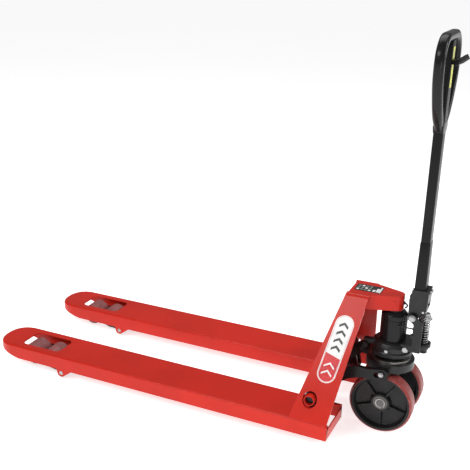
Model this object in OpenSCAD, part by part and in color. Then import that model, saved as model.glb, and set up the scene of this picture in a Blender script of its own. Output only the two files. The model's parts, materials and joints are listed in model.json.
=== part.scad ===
// Hand pallet truck: two forks on load rollers, a steered hydraulic pump on two wheels,
// and a tiller that pumps, steers and releases it. X runs from the fork tips to the
// tiller, Z is up, and the origin is on the floor in the middle of the truck.

/* [Forks] */
// Length of the forks in front of the load face
fork_reach = 1150; // [900:10:1220]
// Width across both forks
overall_w = 548; // [520:1:685]
// Width of one fork
fork_w = 158; // [150:1:170]
// Height of the fork deck when lowered
deck_z = 85; // [83:0.5:90]
// Depth of a fork from its deck to the lower edge of its flanges
fork_depth = 50; // [46:1:52]
// Thickness of the fork plate
plate_t = 4; // [3:0.5:5]

/* [Frame] */
// Place of the load face along X
heel_x = 390; // [300:1:450]
// Height of the top of the head
head_top_z = 444; // [430:1:470]
// Width of the head
head_w = 124; // [110:1:130]
// Thickness of a leg plate
leg_t = 6; // [5:0.5:8]
// Height that the truck lifts
lift_h = 115; // [100:1:120]

/* [Wheels] */
// Diameter of a steered wheel
wheel_d = 200; // [180:1:200]
// Width of a steered wheel
wheel_w = 50; // [40:1:50]
// Gap between the two steered wheels
wheel_gap = 80; // [76:1:90]
// Diameter of a load roller
roller_d = 80; // [74:1:80]
// Width of a load roller
roller_w = 70; // [60:1:70]
// Distance between the two rollers of a bogie
roller_pitch = 85; // [84:0.5:90]

/* [Pump] */
// Distance from the load face to the steering axis
steer_offset = 237; // [230:1:245]
// Outer diameter of the pump cylinder
cylinder_d = 82; // [74:1:86]
// Diameter of the lifting ram
ram_d = 35; // [30:1:38]

/* [Tiller] */
// Height of the top of the grip loop
grip_top_z = 1233; // [1150:1:1280]
// Outer width of the grip loop
grip_w = 256; // [200:1:270]
// Height of the tiller pivot
pivot_z = 389; // [380:1:395]

/* [Hidden] */

$fn = 64;
fit = 0.05;        // radial clearance of a running fit

// Colours
red = [0.88, 0.16, 0.10];
black = [0.07, 0.07, 0.07];
tread_red = [0.50, 0.16, 0.15];
steel = [0.62, 0.62, 0.62];

// Forks, as seen from above
tip_x = heel_x - fork_reach;
fork_y = (overall_w - fork_w) / 2;
flange_z = deck_z - fork_depth;
foot_z = deck_z - 0.3;     // the deck is dressed flat where the frame stands on it
fork_end_x = heel_x + 125;
crank_slot_x = heel_x + 14;   // the deck plate stops here to let the cranks through
nose_len = 78;
window_x = heel_x - 967;
window_l = 160;
window_w = 96;
window_r = 20;

// Roller lever: a bell crank on each fork
lever_x = heel_x - 857;
lever_z = 22;
bogie_x = heel_x - 969;
bogie_z = roller_d / 2;
lug_r = 45;
lever_drop = lever_z - (bogie_z - lift_h);
lever_r = norm([lever_x - bogie_x, bogie_z - lever_z]);
lever_swing = asin((bogie_z - lever_z) / lever_r) + asin(lever_drop / lever_r);
lug_x = lever_x + lug_r * sin(lever_swing / 2);
lug_z = lever_z + lug_r * cos(lever_swing / 2);
lever_pin_d = 16;
lug_pin_d = 12;

// Rocker: the cross shaft at the foot of the legs
shaft_x = heel_x + 55;
shaft_z = 144;
shaft_d = 40;
trunnion_z = 216;
trunnion_reach = steer_offset - 55;
rocker_swing = atan((trunnion_z - shaft_z) / trunnion_reach)
    + atan((lift_h - trunnion_z + shaft_z) / trunnion_reach);
crank_r = lug_r * sin(lever_swing / 2) / sin(rocker_swing / 2);
crank_x = shaft_x + crank_r * sin(rocker_swing / 2);
crank_z = shaft_z - crank_r * cos(rocker_swing / 2);
crank_pin_d = 14;
trunnion_d = 14;
arm_y = 100;       // inner face of a rocker arm
arm_t = 14;

// Legs lean inwards from the forks to the head
leg_lean = (overall_w / 2 - head_w / 2) / (head_top_z - deck_z);
leg_angle = atan(leg_lean);
leg_skin = leg_t / cos(leg_angle);

// Head and steering axis
steer_x = heel_x + steer_offset;
head_front_x = heel_x + 98;
head_nose_r = 25;
head_bottom_z = 396;

// Pump
axle_z = wheel_d / 2;
axle_d = 25;
seat_z = [203.5, 229];      // underside and top of the bearing seat
race_h = 8;
shoulder_z = seat_z[1] + race_h;
block_z = [shoulder_z + 14, shoulder_z + 48];
cylinder_top_z = 390;
neck_d = 84;
tiller_x = heel_x + 298;
plunger_x = heel_x + 334.1;
barrel_z = block_z[1] + 4;
barrel_bottom_z = block_z[0] + 15;
guide_top_z = 338;
plunger_d = 14;
presser_r = 10;
presser_arm = 35;
presser_angle = 37;
presser_x = tiller_x + presser_arm * cos(presser_angle);
presser_z = pivot_z + presser_arm * sin(presser_angle);
cap_top_z = presser_z - presser_r - 1.2;
cap_h = 20;
spring_top_z = cap_top_z - cap_h;

// Tiller
tube_x = heel_x + 308;
tube_z = 462;
grip_d = 29;
yoke_z = 962;

// Releases
release_x = steer_x - 74;
release_z = 272;
control_x = tube_x + 14;
control_z = 1150;

// ---- helpers ----

// A plate in the XZ plane from y to y + t
module plate_xz(points, y, t) {
    translate([0, y + t, 0]) rotate([90, 0, 0]) linear_extrude(t) polygon(points);
}

// A pin along Y, centred on y
module pin_y(x, y, z, d, l) {
    translate([x, y, z]) rotate([90, 0, 0]) cylinder(d = d, h = l, center = true);
}

// A ring along Y, centred on y
module ring_y(x, y, z, d, bore, l) {
    difference() {
        pin_y(x, y, z, d, l);
        pin_y(x, y, z, bore, l + 1);
    }
}

// A bar with round ends between two points of the XZ plane, from y to y + t
module link_xz(a, b, r_a, r_b, y, t) {
    d = b - a;
    l = norm(d);
    slope = asin((r_a - r_b) / l);
    heading = atan2(d[1], d[0]);
    n1 = heading + 90 - slope;
    n2 = heading - 90 + slope;
    plate_xz([
        a + r_a * [cos(n1), sin(n1)], b + r_b * [cos(n1), sin(n1)],
        b + r_b * [cos(n2), sin(n2)], a + r_a * [cos(n2), sin(n2)]
    ], y, t);
    for (e = [[a, r_a], [b, r_b]])
        pin_y(e[0][0], y + t / 2, e[0][1], 2 * e[1], t);
}

// Both copies of something that lies on the far side, Y > 0
module both_sides() {
    children();
    mirror([0, 1, 0]) children();
}

// ---- forks ----

// Points of the round nose, by the rule of a blunt ellipse
function nose(half_w, l, x0) = [for (a = [-90:5:90])
    [x0 + l * (1 - pow(abs(cos(a)), 0.82)), half_w * sign(a) * pow(abs(sin(a)), 0.9)]];

module fork_plan(inset) {
    half_w = fork_w / 2 - inset;
    polygon(concat(nose(half_w, nose_len - inset, tip_x + inset),
        [[fork_end_x, half_w], [fork_end_x, -half_w]]));
}

module window_plan() {
    for (sx = [-1, 1], sy = [-1, 1])
        translate([window_x + sx * (window_l / 2 - window_r), sy * (window_w / 2 - window_r)])
            circle(window_r);
    translate([window_x - window_l / 2 + window_r, -window_w / 2])
        square([window_l - 2 * window_r, window_w]);
    translate([window_x - window_l / 2, -window_w / 2 + window_r])
        square([window_l, window_w - 2 * window_r]);
}

// The tab that carries the axle of the roller lever, on one flange
module pivot_tab(y) {
    plate_xz([
        [lever_x - 20, flange_z + 2], [lever_x - 13, lever_z - 9],
        [lever_x - 6, lever_z - 14], [lever_x + 6, lever_z - 14],
        [lever_x + 46, flange_z + 2]
    ], y, plate_t);
}

module fork() {
    color(red) translate([0, fork_y, 0]) difference() {
        union() {
            difference() {
                translate([0, 0, flange_z]) linear_extrude(fork_depth) fork_plan(0);
                translate([0, 0, flange_z - 1])
                    linear_extrude(fork_depth - plate_t + 1) fork_plan(plate_t);
                // open rear end
                translate([fork_end_x - 10, -fork_w / 2 + plate_t, flange_z - 1])
                    cube([20, fork_w - 2 * plate_t, fork_depth - plate_t + 1]);
                // rising keel under the nose
                translate([0, fork_w / 2 + 1, 0]) rotate([90, 0, 0])
                    linear_extrude(fork_w + 2) polygon([
                        [tip_x - 5, flange_z - 1], [tip_x - 5, flange_z + 27],
                        [tip_x + 25, flange_z + 22], [tip_x + 85, flange_z + 4],
                        [tip_x + 110, flange_z - 1]
                    ]);
            }
            pivot_tab(fork_w / 2 - plate_t);
            pivot_tab(-fork_w / 2);
        }
        translate([0, 0, deck_z - 10]) linear_extrude(20) window_plan();
        translate([heel_x - 0.6, -fork_w, foot_z]) cube([200, 2 * fork_w, 10]);
        // slot for the crank of the rocker
        translate([crank_slot_x, -fork_w / 2 + 14, deck_z - 10])
            cube([200, fork_w - 28, 20]);
        pin_y(lever_x, 0, lever_z, lever_pin_d, fork_w + 10);
    }
}

module left_fork() { fork(); }
module right_fork() { mirror([0, 1, 0]) fork(); }

module heel_plates() {
    color(red) both_sides()
        translate([fork_end_x - plate_t, fork_y - fork_w / 2 + plate_t, flange_z])
            cube([plate_t, fork_w - 2 * plate_t, 36]);
}

// ---- frame ----

// Front and rear edge of a leg at height z
function leg_front(z) = heel_x + 0.262 * (z - deck_z);
function leg_rear(z) = heel_x + 122 + 0.125 * (z - deck_z);

// Section across the truck of the bend that carries a leg over into the head
module bend_section() {
    r = 20;
    low_z = head_top_z - 30;
    low_y = overall_w / 2 - leg_lean * (low_z - deck_z);
    center = [head_w / 2 - r * (1 - sin(leg_angle)) / cos(leg_angle), head_top_z - r];
    arc = [for (i = [0:6]) let (a = leg_angle + (90 - leg_angle) * i / 6)
        center + r * [cos(a), sin(a)]];
    polygon(concat([[low_y, low_z]], arc, [[center[0], head_top_z - 14], [low_y - 8, low_z]]));
}

module leg() {
    bend_z = head_top_z - 44;
    color(red) intersection() {
        translate([heel_x, 0, 0]) rotate([90, 0, 90]) linear_extrude(300) bend_section();
        plate_xz([
            [leg_front(bend_z), bend_z], [leg_rear(bend_z), bend_z],
            [leg_rear(head_top_z), head_top_z], [leg_front(head_top_z), head_top_z]
        ], 0, overall_w / 2);
    }
    color(red) difference() {
        intersection() {
            plate_xz([
                [leg_front(foot_z), foot_z], [leg_rear(foot_z), foot_z],
                [leg_rear(head_bottom_z), head_bottom_z],
                [leg_rear(head_bottom_z), head_top_z - 10],
                [leg_front(head_top_z - 10), head_top_z - 10]
            ], head_w / 2 - 4, overall_w / 2 - head_w / 2 + 4);
            translate([heel_x - 10, overall_w / 2, deck_z]) rotate([leg_angle, 0, 0])
                translate([0, -leg_t, -10]) cube([220, leg_t, 460]);
        }
        pin_y(shaft_x, 240, shaft_z, shaft_d + 6, 80);
    }
}

module left_leg() { leg(); }
module right_leg() { mirror([0, 1, 0]) leg(); }

// Half the width between the legs at height z
function between_legs(z) = overall_w / 2 - leg_skin - 0.3 - leg_lean * (z - deck_z);

module bulkhead() {
    bottom_z = foot_z;
    top_z = head_bottom_z;
    sheet = 4;
    color(red) intersection() {
        plate_xz([
            [leg_front(bottom_z), bottom_z], [leg_front(bottom_z) + sheet, bottom_z],
            [leg_front(top_z) + sheet, top_z], [leg_front(top_z), top_z]
        ], -overall_w / 2, overall_w);
        translate([heel_x - 10, 0, 0]) rotate([90, 0, 90]) linear_extrude(200) polygon([
            [-between_legs(bottom_z), bottom_z], [between_legs(bottom_z), bottom_z],
            [between_legs(top_z), top_z], [-between_legs(top_z), top_z]
        ]);
    }
}

// The head narrows towards a round rear end about the steering axis
module head_plan(inset) {
    r = head_nose_r - inset;
    half_w = head_w / 2 - inset;
    shoulder = [-85, half_w - 7];
    tangent = atan2(shoulder[1], shoulder[0]) - acos(r / norm(shoulder));
    side = [[head_front_x - steer_x + inset, half_w], shoulder];
    nose = [for (i = [0:16]) let (a = tangent * (1 - i / 8)) r * [cos(a), sin(a)]];
    translate([steer_x, 0])
        polygon(concat(side, nose, [for (p = [side[1], side[0]]) [p[0], -p[1]]]));
}

// Section of the head across the truck, with rounded upper edges
module head_section(r) {
    translate([-head_w / 2, head_bottom_z - 1])
        square([head_w, head_top_z - head_bottom_z + 1 - r]);
    translate([-head_w / 2 + r, head_bottom_z - 1])
        square([head_w - 2 * r, head_top_z - head_bottom_z + 1]);
    for (s = [-1, 1])
        translate([s * (head_w / 2 - r), head_top_z - r]) circle(r);
}

module head() {
    wall = 6;
    color(red) difference() {
        union() {
            difference() {
                intersection() {
                    translate([0, 0, head_bottom_z])
                        linear_extrude(head_top_z - head_bottom_z) head_plan(0);
                    translate([heel_x, 0, 0]) rotate([90, 0, 90])
                        linear_extrude(400) head_section(12);
                }
                translate([0, 0, head_bottom_z - 1])
                    linear_extrude(head_top_z - head_bottom_z - wall - 2) head_plan(wall);
            }
            translate([steer_x, 0, head_top_z - 32]) cylinder(d = 48, h = 30);
        }
        translate([steer_x, 0, head_top_z - 40]) cylinder(d = ram_d, h = 30);
        pin_y(steer_x, 0, head_top_z - 20, 10, 120);
    }
}

module side_labels() {
    label_w = 59;
    skin = 0.8;
    span = 159;        // between the centres of the round ends
    color("white") both_sides()
        translate([heel_x + 88.6, overall_w / 2, deck_z]) rotate([leg_angle, 0, 0])
            translate([0, 0, 159]) rotate([-90, 0, 0]) linear_extrude(skin) rotate(8.1) {
                for (y = [0, -span])
                    translate([0, y]) circle(d = label_w);
                translate([-label_w / 2, -span]) square([label_w, span]);
            }
}

module head_label() {
    color(black) translate([head_front_x + 10, -26, head_top_z]) cube([84, 52, 0.8]);
}

module head_hook() {
    wire = 5;
    color(black) translate([steer_x + head_nose_r + 3, 0, head_bottom_z + 14]) {
        rotate([90, 0, 0]) difference() {
            rotate_extrude() translate([7, 0]) circle(d = wire, $fn = 24);
            translate([-20, -20, -10]) cube([20, 20, 20]);
        }
        translate([-4, -4, 4]) cube([5, 8, 8]);
    }
}

module shaft_bushings() {
    color(steel) both_sides()
        ring_y(shaft_x, 236, shaft_z, shaft_d + 6, shaft_d - 12 + 2 * fit, 22);
}

module lever_axles() {
    color(steel) both_sides() pin_y(lever_x, fork_y, lever_z, lever_pin_d, fork_w);
}

module ram() {
    color(steel) difference() {
        translate([steer_x, 0, 172]) cylinder(d = ram_d, h = head_top_z - 182);
        pin_y(steer_x, 0, head_top_z - 20, 10, 120);
    }
}

module ram_pin() {
    color(steel) pin_y(steer_x, 0, head_top_z - 20, 10, 56);
}

// ---- bearing seat, which lifts with the pump but doesn't steer ----

module bearing_seat() {
    lug_y = 60;
    color(black) difference() {
        union() {
            translate([steer_x, 0, seat_z[0]]) cylinder(d = 150, h = seat_z[1] - seat_z[0]);
            both_sides() {
                pin_y(steer_x, 79, trunnion_z, 25, 38);
                translate([steer_x - 20, lug_y, seat_z[0]])
                    cube([40, 30, seat_z[1] - seat_z[0]]);
            }
        }
        translate([steer_x, 0, seat_z[0] - 1]) cylinder(d = neck_d + 2 * fit, h = 40);
        both_sides() pin_y(steer_x, 88, trunnion_z, trunnion_d, 50);
    }
}

module trunnion_bolts() {
    color(steel) both_sides() {
        pin_y(steer_x, 93, trunnion_z, trunnion_d, 46);
        pin_y(steer_x, 118, trunnion_z, 23, 5);
    }
}

module thrust_bearing() {
    color(steel) translate([steer_x, 0, seat_z[1]]) difference() {
        cylinder(d = 126, h = race_h - 0.1);
        translate([0, 0, -1]) cylinder(d = 90, h = 20);
    }
}

// ---- pump ----

module pump_base() {
    foot_w = 52;
    color(black) difference() {
        union() {
            translate([steer_x, 0, 150]) cylinder(d = 60, h = 60);
            translate([steer_x, 0, 198]) cylinder(d = neck_d, h = shoulder_z - 198);
            translate([steer_x, 0, shoulder_z]) cylinder(d = 132, h = 12);
            plate_xz([
                [steer_x - 26, axle_z], [steer_x + 26, axle_z],
                [steer_x + 33, 200], [steer_x - 33, 200]
            ], -foot_w / 2, foot_w);
            pin_y(steer_x, 0, axle_z, 52, wheel_gap - 5);
        }
        pin_y(steer_x, 0, axle_z, axle_d, 100);
        translate([steer_x, 0, 165]) cylinder(d = ram_d + 2 * fit, h = 100);
    }
}

// Screwed plugs of the valves
module plugs() {
    plug_z = block_z[0] + 18;
    for (side = [-1, 1])
        pin_y(steer_x + 50, side * 37, plug_z, 22, 18);
    translate([steer_x - 2, -58, plug_z - 8]) rotate([90, 0, 0])
        cylinder(d = 14, h = 9);
}

module pump_body() {
    ear_y = 33;
    block_foot_z = block_z[0] + 13;
    color(black) difference() {
        union() {
            translate([steer_x, 0, shoulder_z + 12]) cylinder(d1 = 132, d2 = 116, h = 34);
            translate([steer_x, 0, shoulder_z + 46])
                cylinder(d = cylinder_d, h = cylinder_top_z - shoulder_z - 54);
            translate([steer_x, 0, cylinder_top_z - 8])
                cylinder(d1 = cylinder_d, d2 = cylinder_d - 16, h = 8);
            // block that carries the small pump
            translate([steer_x + 20, -24, block_foot_z])
                cube([plunger_x - steer_x - 20, 48, block_z[1] - block_foot_z]);
            translate([plunger_x, 0, block_foot_z]) cylinder(d = 32, h = 14);
            translate([plunger_x, 0, block_foot_z + 9])
                cylinder(d = 44, h = block_z[1] - block_foot_z - 9);
            // ears for the tiller
            both_sides() {
                translate([tiller_x - 28, 20, block_foot_z])
                    cube([62, 21, block_z[1] - block_foot_z]);
                plate_xz([
                    [tiller_x + 6, block_z[1] - 1], [tiller_x + 34, block_z[1] - 1],
                    [tiller_x + 34, pivot_z - 17], [tiller_x + 8, pivot_z + 10],
                    [tiller_x - 8, pivot_z - 8], [tiller_x + 6, pivot_z - 20]
                ], ear_y, 8);
                pin_y(tiller_x, ear_y + 4, pivot_z, 26, 8);
            }
            // guide rod beside the near ear
            translate([steer_x + 15, -ear_y - 4, pivot_z - 35])
                rotate([0, 90, 0]) cylinder(d = 5, h = tiller_x - steer_x - 7);
            pin_y(tiller_x + 4, -ear_y - 5, pivot_z - 59, 13, 12);
            // lug for the release lever
            translate([release_x - 8, -37, release_z - 8]) cube([50, 20, 16]);
        }
        pin_y(release_x, -30, release_z, 8, 30);
        translate([steer_x, 0, shoulder_z]) cylinder(d = ram_d + 2 * fit, h = 300);
        pin_y(tiller_x, 0, pivot_z, 16, 120);
        translate([plunger_x, 0, barrel_bottom_z]) cylinder(d = 26, h = 60);
        plugs();
    }
}

module ram_wiper() {
    color(black) translate([steer_x, 0, cylinder_top_z]) difference() {
        cylinder(d = ram_d + 14, h = 5);
        translate([0, 0, -1]) cylinder(d = ram_d + 2 * fit, h = 20);
    }
}

module valve_plugs() {
    color(steel) plugs();
}

// Seat of the spring, and the tube inside it that guides the plunger
module plunger_barrel() {
    bottom_z = barrel_bottom_z;
    color(black) translate([plunger_x, 0, 0]) difference() {
        union() {
            translate([0, 0, bottom_z]) cylinder(d = 26, h = barrel_z - bottom_z);
            translate([0, 0, block_z[1]]) cylinder(d = 44, h = barrel_z - block_z[1]);
            translate([0, 0, bottom_z]) cylinder(d = 17.6, h = guide_top_z - bottom_z);
        }
        translate([0, 0, bottom_z + 4]) cylinder(d = plunger_d + 2 * fit, h = 100);
    }
}

module tiller_pivot_pin() {
    color(steel) {
        pin_y(tiller_x, 0, pivot_z, 16, 82);
        both_sides() pin_y(tiller_x, 43.5, pivot_z, 21, 5);
    }
}

clip_y = wheel_gap / 2 + wheel_w - 4.5;

module wheel_axle() {
    color(steel) difference() {
        pin_y(steer_x, 0, axle_z, axle_d, wheel_gap + 2 * wheel_w - 5);
        both_sides() ring_y(steer_x, clip_y, axle_z, axle_d + 1, 22, 2);
    }
}

module axle_circlips() {
    color(steel) both_sides() ring_y(steer_x, clip_y, axle_z, 34, 22, 1.8);
}

// ---- steered wheels, drawn on the side Y > 0 ----

wheel_y = (wheel_gap + wheel_w) / 2;
rim_d = 186;
bearing_d = 47;

module wheel_core() {
    web_t = 12;
    color(black) difference() {
        union() {
            ring_y(steer_x, wheel_y, axle_z, rim_d, rim_d - 18, wheel_w);
            pin_y(steer_x, wheel_y, axle_z, rim_d - 10, web_t);
            pin_y(steer_x, wheel_y, axle_z, 66, wheel_w - 8);
            for (i = [0:4])
                translate([steer_x, wheel_y, axle_z]) rotate([0, 72 * i, 0])
                    translate([55, 0, 0]) cube([60, wheel_w - 20, 7], center = true);
        }
        pin_y(steer_x, wheel_y, axle_z, bearing_d, wheel_w + 10);
    }
}

module wheel_tread() {
    bevel = 4;
    color(tread_red) difference() {
        translate([steer_x, wheel_y, axle_z]) rotate([90, 0, 0]) {
            cylinder(d = wheel_d, h = wheel_w - 2 * bevel, center = true);
            for (s = [0, 1]) mirror([0, 0, s]) translate([0, 0, wheel_w / 2 - bevel])
                cylinder(d1 = wheel_d, d2 = wheel_d - 2 * bevel, h = bevel);
        }
        pin_y(steer_x, wheel_y, axle_z, rim_d, wheel_w + 10);
    }
}

module wheel_bearings() {
    color(steel) for (s = [-1, 1])
        ring_y(steer_x, wheel_y + s * 13, axle_z, bearing_d, axle_d + 2 * fit, 12);
}

module left_wheel_core() { wheel_core(); }
module right_wheel_core() { mirror([0, 1, 0]) wheel_core(); }
module left_wheel_tread() { wheel_tread(); }
module right_wheel_tread() { mirror([0, 1, 0]) wheel_tread(); }
module left_wheel_bearings() { wheel_bearings(); }
module right_wheel_bearings() { mirror([0, 1, 0]) wheel_bearings(); }

// ---- hand pump ----

module plunger() {
    bottom_z = barrel_z + 28;
    color(steel) translate([plunger_x, 0, bottom_z])
        cylinder(d = plunger_d, h = cap_top_z - 2 - bottom_z);
}

module spring_cap() {
    color(steel) translate([plunger_x, 0, spring_top_z]) difference() {
        union() {
            cylinder(d = 36, h = 5);
            translate([0, 0, 4]) cylinder(d1 = 31, d2 = 26, h = cap_h - 10);
            translate([0, 0, cap_h - 7]) cylinder(d = 22, h = 7);
        }
        translate([0, 0, -1]) cylinder(d = 18.6, h = cap_h - 4);
        translate([0, 0, -1]) cylinder(d = plunger_d, h = cap_h - 1);
    }
}

module plunger_spring() {
    bottom_z = barrel_z + 0.5;
    color(steel) translate([plunger_x, 0, bottom_z]) difference() {
        cylinder(d = 26, h = spring_top_z - bottom_z - 0.5);
        translate([0, 0, -1]) cylinder(d = 18.8, h = 200);
    }
}

// Open hook that lets the oil back when the control lever is lifted
module release_lever() {
    color(black) difference() {
        union() {
            pin_y(release_x, -42, release_z, 16, 8);
            link_xz([release_x, release_z], [release_x - 10, release_z - 18], 7, 5, -46, 8);
            link_xz([release_x - 10, release_z - 18], [release_x + 6, release_z - 28],
                5, 4, -46, 8);
            pin_y(release_x, -36, release_z, 7.9, 20);
        }
    }
}

// ---- tiller ----

bolt_ys = [-11, 11];
bolt_z = tube_z + 8;

module bracket_bolt_holes() {
    for (y = bolt_ys)
        translate([tube_x - 40, y, bolt_z]) rotate([0, 90, 0]) cylinder(d = 8, h = 80);
}

bracket_x = [tube_x - 27, tube_x + 29];

module tiller_bracket() {
    cheek_y = 22;
    cheek_t = 7;
    foot_z = tube_z - 26;
    lip_z = tube_z + 16;
    step = 8;
    front = [
        [bracket_x[0], tube_z - 17], [bracket_x[0] + step, tube_z], [bracket_x[0] + step, lip_z]
    ];
    color(black) difference() {
        union() {
            both_sides() {
                plate_xz(concat([[tiller_x - 15, pivot_z]], front, [
                    [bracket_x[1], lip_z], [bracket_x[1], tube_z - 8],
                    [presser_x + 9, presser_z + 6], [presser_x + 5, presser_z - 7],
                    [presser_x - 6, presser_z - 7], [tiller_x + 12, pivot_z - 9]
                ]), cheek_y, cheek_t);
                pin_y(tiller_x, cheek_y + cheek_t / 2, pivot_z, 30, cheek_t);
            }
            plate_xz(concat([[bracket_x[0], foot_z]], front,
                [[tube_x - 14, lip_z], [tube_x - 14, foot_z]]), -cheek_y - 1, 2 * cheek_y + 2);
            translate([tube_x + 15, -cheek_y - 1, foot_z])
                cube([14, 2 * cheek_y + 2, lip_z - foot_z]);
            translate([bracket_x[0], -cheek_y - 1, foot_z])
                cube([bracket_x[1] - bracket_x[0], 2 * cheek_y + 2, 20]);
        }
        pin_y(tiller_x, 0, pivot_z, 16 + 2 * fit, 120);
        pin_y(presser_x, 0, presser_z, 8, 120);
        bracket_bolt_holes();
    }
}

module bracket_bolts() {
    head_h = 5.8;
    color(steel) for (y = bolt_ys) {
        translate([bracket_x[0] + 7, y, bolt_z]) rotate([0, 90, 0])
            cylinder(d = 8, h = bracket_x[1] - bracket_x[0] - 6);
        for (x = [bracket_x[0] + 7.8 - head_h, bracket_x[1] + 0.2])
            translate([x, y, bolt_z]) rotate([0, 90, 0]) cylinder(d = 14, h = head_h);
    }
}

module tiller_tube() {
    wall = 3;
    size = [28, 42];
    color(black) difference() {
        translate([tube_x - size[0] / 2, -size[1] / 2, tube_z - 5])
            cube([size[0], size[1], grip_top_z - tube_z - 20]);
        translate([tube_x - size[0] / 2 + wall, -size[1] / 2 + wall, tube_z - 6])
            cube([size[0] - 2 * wall, size[1] - 2 * wall, grip_top_z - tube_z - 30]);
        bracket_bolt_holes();
    }
}

// One limb of the loop between two points of the YZ plane, with a round knuckle at each
module limb(a, b, d) {
    v = b - a;
    knuckle_d = d + 0.6;
    translate([tube_x, a[0], a[1]]) rotate([-atan2(v[0], v[1]), 0, 0])
        cylinder(d = d, h = norm(v));
    for (p = [a, b])
        translate([tube_x, p[0], p[1]]) sphere(d = knuckle_d);
}

module tiller_loop() {
    half_w = (grip_w - grip_d) / 2;
    top_z = grip_top_z - grip_d / 2;
    corner_r = 62;
    corner = [for (a = [0:22.5:90])
        [half_w - corner_r * (1 - cos(a)), top_z - corner_r * (1 - sin(a))]];
    flank = [[24, yoke_z], [half_w * 0.67, yoke_z + 76], [half_w * 0.93, yoke_z + 136]];
    route = concat(flank, corner, [[0, top_z]]);
    color(black) difference() {
        both_sides() for (i = [1:len(route) - 1])
            limb(route[i - 1], route[i], grip_d);
        translate([tube_x - 14, -21, tube_z])
            cube([28, 42, grip_top_z - tube_z - 25]);
    }
}

module tiller_label() {
    color("yellow") translate([tube_x + 14, -11, 1080]) cube([0.8, 22, 110]);
}

module control_lever() {
    color(black) difference() {
        union() {
            pin_y(control_x + 12, 0, control_z, 18, 24);
            link_xz([control_x + 12, control_z], [control_x + 40, control_z + 16],
                8, 5, -9, 18);
        }
        pin_y(control_x + 12, 0, control_z, 6 + 2 * fit, 60);
    }
}

module control_lever_pin() {
    color(steel) {
        pin_y(control_x + 12, 0, control_z, 6, 34);
        both_sides() translate([control_x + 0.3, 13, control_z - 6]) cube([18, 4, 12]);
    }
}

module presser_roller() {
    color(steel) ring_y(presser_x, 0, presser_z, 2 * presser_r, 8 + 2 * fit, 26);
}

module roller_pin() {
    color(steel) pin_y(presser_x, 0, presser_z, 8, 60);
}

// ---- lifting linkage, drawn on the side Y > 0 ----

module rocker() {
    shaft_l = 424;
    color(black) difference() {
        union() {
            pin_y(shaft_x, 0, shaft_z, shaft_d, shaft_l);
            pin_y(shaft_x, 0, shaft_z, shaft_d - 12, shaft_l + 46);
            both_sides() {
                // crank arms, down into each fork
                for (y = [fork_y - 24, fork_y + 11])
                    link_xz([shaft_x, shaft_z], [crank_x, crank_z], 20, 13, y, 12);
                // arm to the bearing seat, arched over the steered wheels
                plate_xz([
                    [shaft_x - 10, shaft_z + 18], [shaft_x + 92, 227],
                    [steer_x - 42, 225], [steer_x + 6, 234], [steer_x + 20, 226],
                    [steer_x + 20, 201], [steer_x + 12, 194],
                    [steer_x - 60, 192], [steer_x - 100, 178],
                    [steer_x - 128, 158], [shaft_x + 12, shaft_z - 17]
                ], arm_y, arm_t);
            }
        }
        both_sides() {
            pin_y(crank_x, fork_y, crank_z, crank_pin_d, 80);
            trunnion_slot();
        }
    }
}

// Slot round the trunnion bolt: the arm swings on an arc and the bolt moves straight
module trunnion_slot() {
    play = 1.8;
    slot_d = trunnion_d + 2 * play;
    a = [shaft_x, shaft_z];
    b = [steer_x, trunnion_z];
    u = (b - a) / norm(b - a);
    link_xz(b - 14.5 * u, b + 0.8 * u, slot_d / 2, slot_d / 2, arm_y - 5, arm_t + 10);
}

module crank_pins() {
    color(steel) both_sides() pin_y(crank_x, fork_y, crank_z, crank_pin_d, 56);
}

module push_rod() {
    rod_h = 16;
    jaw_gap = lug_pin_d + 1.6;
    jaw_h = 36;
    color(black) difference() {
        union() {
            translate([lug_x + 20, fork_y - 8, crank_z - rod_h / 2])
                cube([crank_x - lug_x - 20, 16, rod_h]);
            pin_y(crank_x, fork_y, crank_z, 26, 20);
            // open jaw that pushes the lug pin of the roller lever
            translate([lug_x - jaw_gap / 2 - 8, fork_y - 9, lug_z - 16])
                cube([jaw_gap + 16 + 14, 18, jaw_h - 3]);
        }
        translate([lug_x - jaw_gap / 2, fork_y - 12, lug_z - lug_pin_d / 2 - 3])
            cube([jaw_gap, 24, jaw_h]);
        pin_y(crank_x, fork_y, crank_z, crank_pin_d + 2 * fit, 80);
    }
}

module left_push_rod() { push_rod(); }
module right_push_rod() { mirror([0, 1, 0]) push_rod(); }

module roller_lever() {
    hub_l = fork_w - 2 * plate_t - 1;
    color(black) translate([0, fork_y, 0]) difference() {
        union() {
            pin_y(lever_x, 0, lever_z, 28, hub_l);
            for (s = [0, 1]) mirror([0, s, 0]) {
                link_xz([lever_x, lever_z], [bogie_x, bogie_z], 14, 14, 46, 9);
                link_xz([lever_x, lever_z], [lug_x, lug_z], 14, 10, 12, 8);
            }
            pin_y(lug_x, 0, lug_z, lug_pin_d, 40);
        }
        pin_y(lever_x, 0, lever_z, lever_pin_d + 2 * fit, fork_w);
        pin_y(bogie_x, 0, bogie_z, lever_pin_d + 2 * fit, fork_w);
    }
}

module left_roller_lever() { roller_lever(); }
module right_roller_lever() { mirror([0, 1, 0]) roller_lever(); }

// Two stub pins, so that the rollers between them stay clear
module bogie_pin() {
    color(steel) for (s = [-1, 1])
        pin_y(bogie_x, fork_y + s * 47.3, bogie_z, lever_pin_d, 21.4);
}

module left_bogie_pin() { bogie_pin(); }
module right_bogie_pin() { mirror([0, 1, 0]) bogie_pin(); }

module bogie() {
    half = roller_pitch / 2;
    color(black) translate([0, fork_y, 0]) difference() {
        union() {
            for (s = [0, 1]) mirror([0, s, 0])
                link_xz([bogie_x - half, bogie_z], [bogie_x + half, bogie_z], 15, 15, 37, 7);
            for (s = [-1, 1])
                pin_y(bogie_x + s * half, 0, bogie_z, 20, 88);
        }
        pin_y(bogie_x, 0, bogie_z, lever_pin_d + 2 * fit, fork_w);
    }
}

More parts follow.
